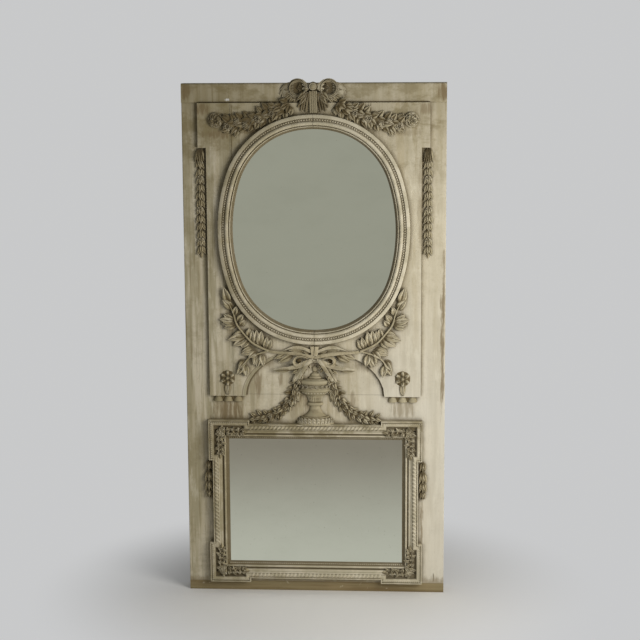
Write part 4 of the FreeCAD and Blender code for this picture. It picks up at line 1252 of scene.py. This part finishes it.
def ear_field(side, x0, x1, y0, y1):
    """Sunk ground of an ear, that the leafage lies on, dark with wash and painted shade."""
    middle = (side * (x0 + x1) / 2, (y0 + y1) / 2, FIELD_HEIGHT / 2)
    bpy.ops.mesh.primitive_cube_add(size=1, location=middle)
    obj = bpy.context.object
    obj.scale = (x1 - x0, y1 - y0, FIELD_HEIGHT)
    bpy.ops.object.transform_apply(location=True, rotation=False, scale=True)
    return washed_and_shaded(obj, 0.8)


RAIL_OF_RUN = ("bottom",) * 2 + ("right",) * 5 + ("top",) * 5 + ("left",) * 5 + ("bottom",) * 3


def outer_band(rails):
    shape = section_shape(OUTER_SECTION, "outer_section")
    points = eared_outline()
    for k, rail in enumerate(RAIL_OF_RUN):
        start, end = points[k], points[(k + 1) % len(points)]
        rails[rail].append(moulding_run(shape, points, k))
        length = math.dist(start, end)
        if length > 300:
            rails[rail] += rope(start, end, *ROPE)
        elif length > 100:
            rails[rail] += rope(start, end, *EAR_ROPE)


def inner_band(rails):
    shape = section_shape(INNER_SECTION, "inner_section")
    points = plain_outline()
    for k, rail in enumerate(("right", "top", "left", "bottom")):
        start, end = Vector(points[k]), Vector(points[(k + 1) % 4])
        rails[rail].append(moulding_run(shape, points, k))
        if rail in ("top", "bottom"):
            inset = (end - start).normalized() * DENTIL_INSET
            rails[rail] += rope(start + inset, end - inset, *DENTILS)


def ear_fields(rails):
    far = FRAME_HALF + EAR_STEP - EAR_BORDER
    near = far - EAR_LENGTH + 2 * EAR_BORDER
    low = FRAME_LOW - EAR_STEP + EAR_BORDER
    high = FRAME_HIGH + EAR_STEP - EAR_BORDER
    border = EAR_BORDER + 1
    for side, name in ((-1, "left"), (1, "right")):
        rails["bottom"].append(ear_field(side, near, far, low, FRAME_LOW + FIELD_OVERLAP))
        rails["top"].append(ear_field(side, near, far, FRAME_HIGH - FIELD_OVERLAP, high))
        inner = FRAME_HALF - FIELD_OVERLAP
        rails[name].append(ear_field(side, inner, far, low + border, low + EAR_LENGTH - 2 * EAR_BORDER))
        rails[name].append(ear_field(side, inner, far, high - EAR_LENGTH + 2 * EAR_BORDER, high - border))


def lower_frame():
    """The four eared rails: outer band with its rope, inner band, and the sunk fields of the ears."""
    rails = {"bottom": [], "right": [], "top": [], "left": []}
    outer_band(rails)
    inner_band(rails)
    ear_fields(rails)
    for rail, parts in rails.items():
        obj = hung("moulded_" + rail + "_rail", parts, APRON_FACE)
        keep_piece(obj, "frame_" + rail + "_rail", "painted_moulding")


def all_ornament():
    carve_pair("oval_frame", oval_frame(), PANEL_FACE, "painted_moulding")
    lower_frame()
    carve_pair("upper_garland", upper_garland(), PANEL_FACE)
    carve_pair("laurel_branch", laurel_branch(), PANEL_FACE)
    carve_pair("top_rosette", top_rosette(), PANEL_FACE)
    carve_pair("small_rosette", small_rosette(), PANEL_FACE)
    carve_pair("long_drop", long_drop(), APRON_FACE)
    carve_pair("short_drop", short_drop(), APRON_FACE)
    carve_pair("guttae", guttae(), APRON_FACE)
    carve_pair("festoon", festoon(), APRON_FACE)
    carve_pair("bow_loop", bow_loop(), TOP_RAIL_FACE)
    carve("bow_knot", bow_knot(), KNOT_GROUND)
    carve("arch_ribbon", arch_ribbon(), RIBBON_GROUND)
    urn()
    corner = acanthus_corner()
    middle = Matrix.Translation((0, (FRAME_LOW + FRAME_HIGH) / 2, 0))
    flip = middle @ Matrix.Scale(-1, 4, (0, 1, 0)) @ middle.inverted()
    lower = [copy_of(part, flip) for part in corner]
    carve_pair("upper_acanthus", corner, EAR_GROUND)
    carve_pair("lower_acanthus", lower, EAR_GROUND)
    for shape in MASTERS:
        bpy.data.objects.remove(shape)


# ---------------------------------------------------------------- stage


FILL = 0.25
KEY_PLACE = (1.75, -2.05, 1.55)
KEY_TARGET = (0.1, 0, 1.0)
KEY_SIZE = 1.7
KEY_POWER = 55
FLOOR_SIZE = 12

# Distances over which the floor turns into the backdrop, darkens in the glass and comes to its end
BACKDROP_FADE = (0.45, 1.30)
GLASS_FADE = (0.3, 2.9)
END_FADE = (3.2, 4.4)
END_CENTRE_Y = -1.4


def world_light():
    """Even fill; the camera and the glass see their own plain greys."""
    world = bpy.data.worlds.new("studio")
    bpy.context.scene.world = world
    m = Finish(world)
    fill = m.node("ShaderNodeBackground", values={"Color": FILL_COLOUR, "Strength": FILL})
    room = m.node("ShaderNodeBackground", values={"Color": ROOM_IN_GLASS})
    backdrop = m.node("ShaderNodeBackground", values={"Color": BACKGROUND})
    in_glass = m.node("ShaderNodeLightPath", out="Is Glossy Ray")
    light = m.node("ShaderNodeMixShader", values={0: in_glass, 1: fill, 2: room})
    seen = m.node("ShaderNodeLightPath", out="Is Camera Ray")
    light = m.node("ShaderNodeMixShader", values={0: seen, 1: light, 2: backdrop})
    m.node("ShaderNodeOutputWorld", values={"Surface": light})


def key_lamp():
    light = bpy.data.lights.new("key", "AREA")
    light.shape = "DISK"
    light.size = KEY_SIZE
    light.energy = KEY_POWER
    light.color = KEY_COLOUR
    obj = bpy.data.objects.new("key", light)
    obj.location = KEY_PLACE
    obj.rotation_euler = (Vector(KEY_TARGET) - Vector(KEY_PLACE)).to_track_quat("-Z", "Y").to_euler()
    bpy.context.scene.collection.objects.link(obj)


def floor():
    """Pale floor that keeps the shadow and fades out far away; in the glass it shows a painted reflection, a
    glowing grey that darkens with distance.
    """
    bpy.ops.object.select_all(action="DESELECT")
    bpy.ops.mesh.primitive_plane_add(size=FLOOR_SIZE, location=(0, 0, 0))
    plane = bpy.context.object
    plane.name = "floor"
    m = Finish(bpy.data.materials.new("floor"))
    x, y, _ = m.xyz(m.place())
    cloud = m.noise(m.place(), (0.7, 0.7, 0.7), 2)
    colour = m.mix(cloud * 0.1, FLOOR, FLOOR_SHADE)
    plain = m.node("ShaderNodeBsdfPrincipled", values={"Base Color": colour, "Roughness": 0.9})
    away = m.mix(m.step(0 - y, *GLASS_FADE), FLOOR_IN_GLASS, FLOOR_FAR_IN_GLASS)
    reflected = m.node("ShaderNodeEmission", values={"Color": away, "Strength": 1.0})
    in_glass = m.node("ShaderNodeLightPath", out="Is Glossy Ray")
    near = m.node("ShaderNodeMixShader", values={0: in_glass, 1: plain, 2: reflected})
    seen = m.node("ShaderNodeLightPath", out="Is Camera Ray")
    backdrop = m.node("ShaderNodeEmission", values={"Color": BACKGROUND, "Strength": 1.0})
    spread = m.step((x ** 2 + y ** 2) ** 0.5, *BACKDROP_FADE)
    near = m.node("ShaderNodeMixShader", values={0: seen * spread, 1: near, 2: backdrop})
    distance = (x ** 2 + (y - END_CENTRE_Y) ** 2) ** 0.5
    clear = m.node("ShaderNodeBsdfTransparent")
    faded = m.node("ShaderNodeMixShader", values={0: m.step(distance, *END_FADE), 1: near, 2: clear})
    m.node("ShaderNodeOutputMaterial", values={"Surface": faded})
    plane.data.materials.append(m.owner)


def camera():
    lens = bpy.data.cameras.new("camera")
    lens.lens = CAMERA_LENS
    lens.sensor_width = CAMERA_SENSOR
    obj = bpy.data.objects.new("camera", lens)
    turn = (Matrix.Rotation(math.radians(CAMERA_YAW), 4, "Z")
            @ Matrix.Rotation(math.radians(CAMERA_PITCH), 4, "X")
            @ Matrix.Rotation(math.radians(CAMERA_ROLL), 4, "Y")
            @ Matrix.Rotation(math.pi / 2, 4, "X"))
    obj.matrix_world = Matrix.Translation(CAMERA_PLACE) @ turn
    bpy.context.scene.collection.objects.link(obj)
    bpy.context.scene.camera = obj


dress_frame()
all_ornament()
world_light()
key_lamp()
floor()
camera()
bpy.context.scene.view_settings.view_transform = "Standard"
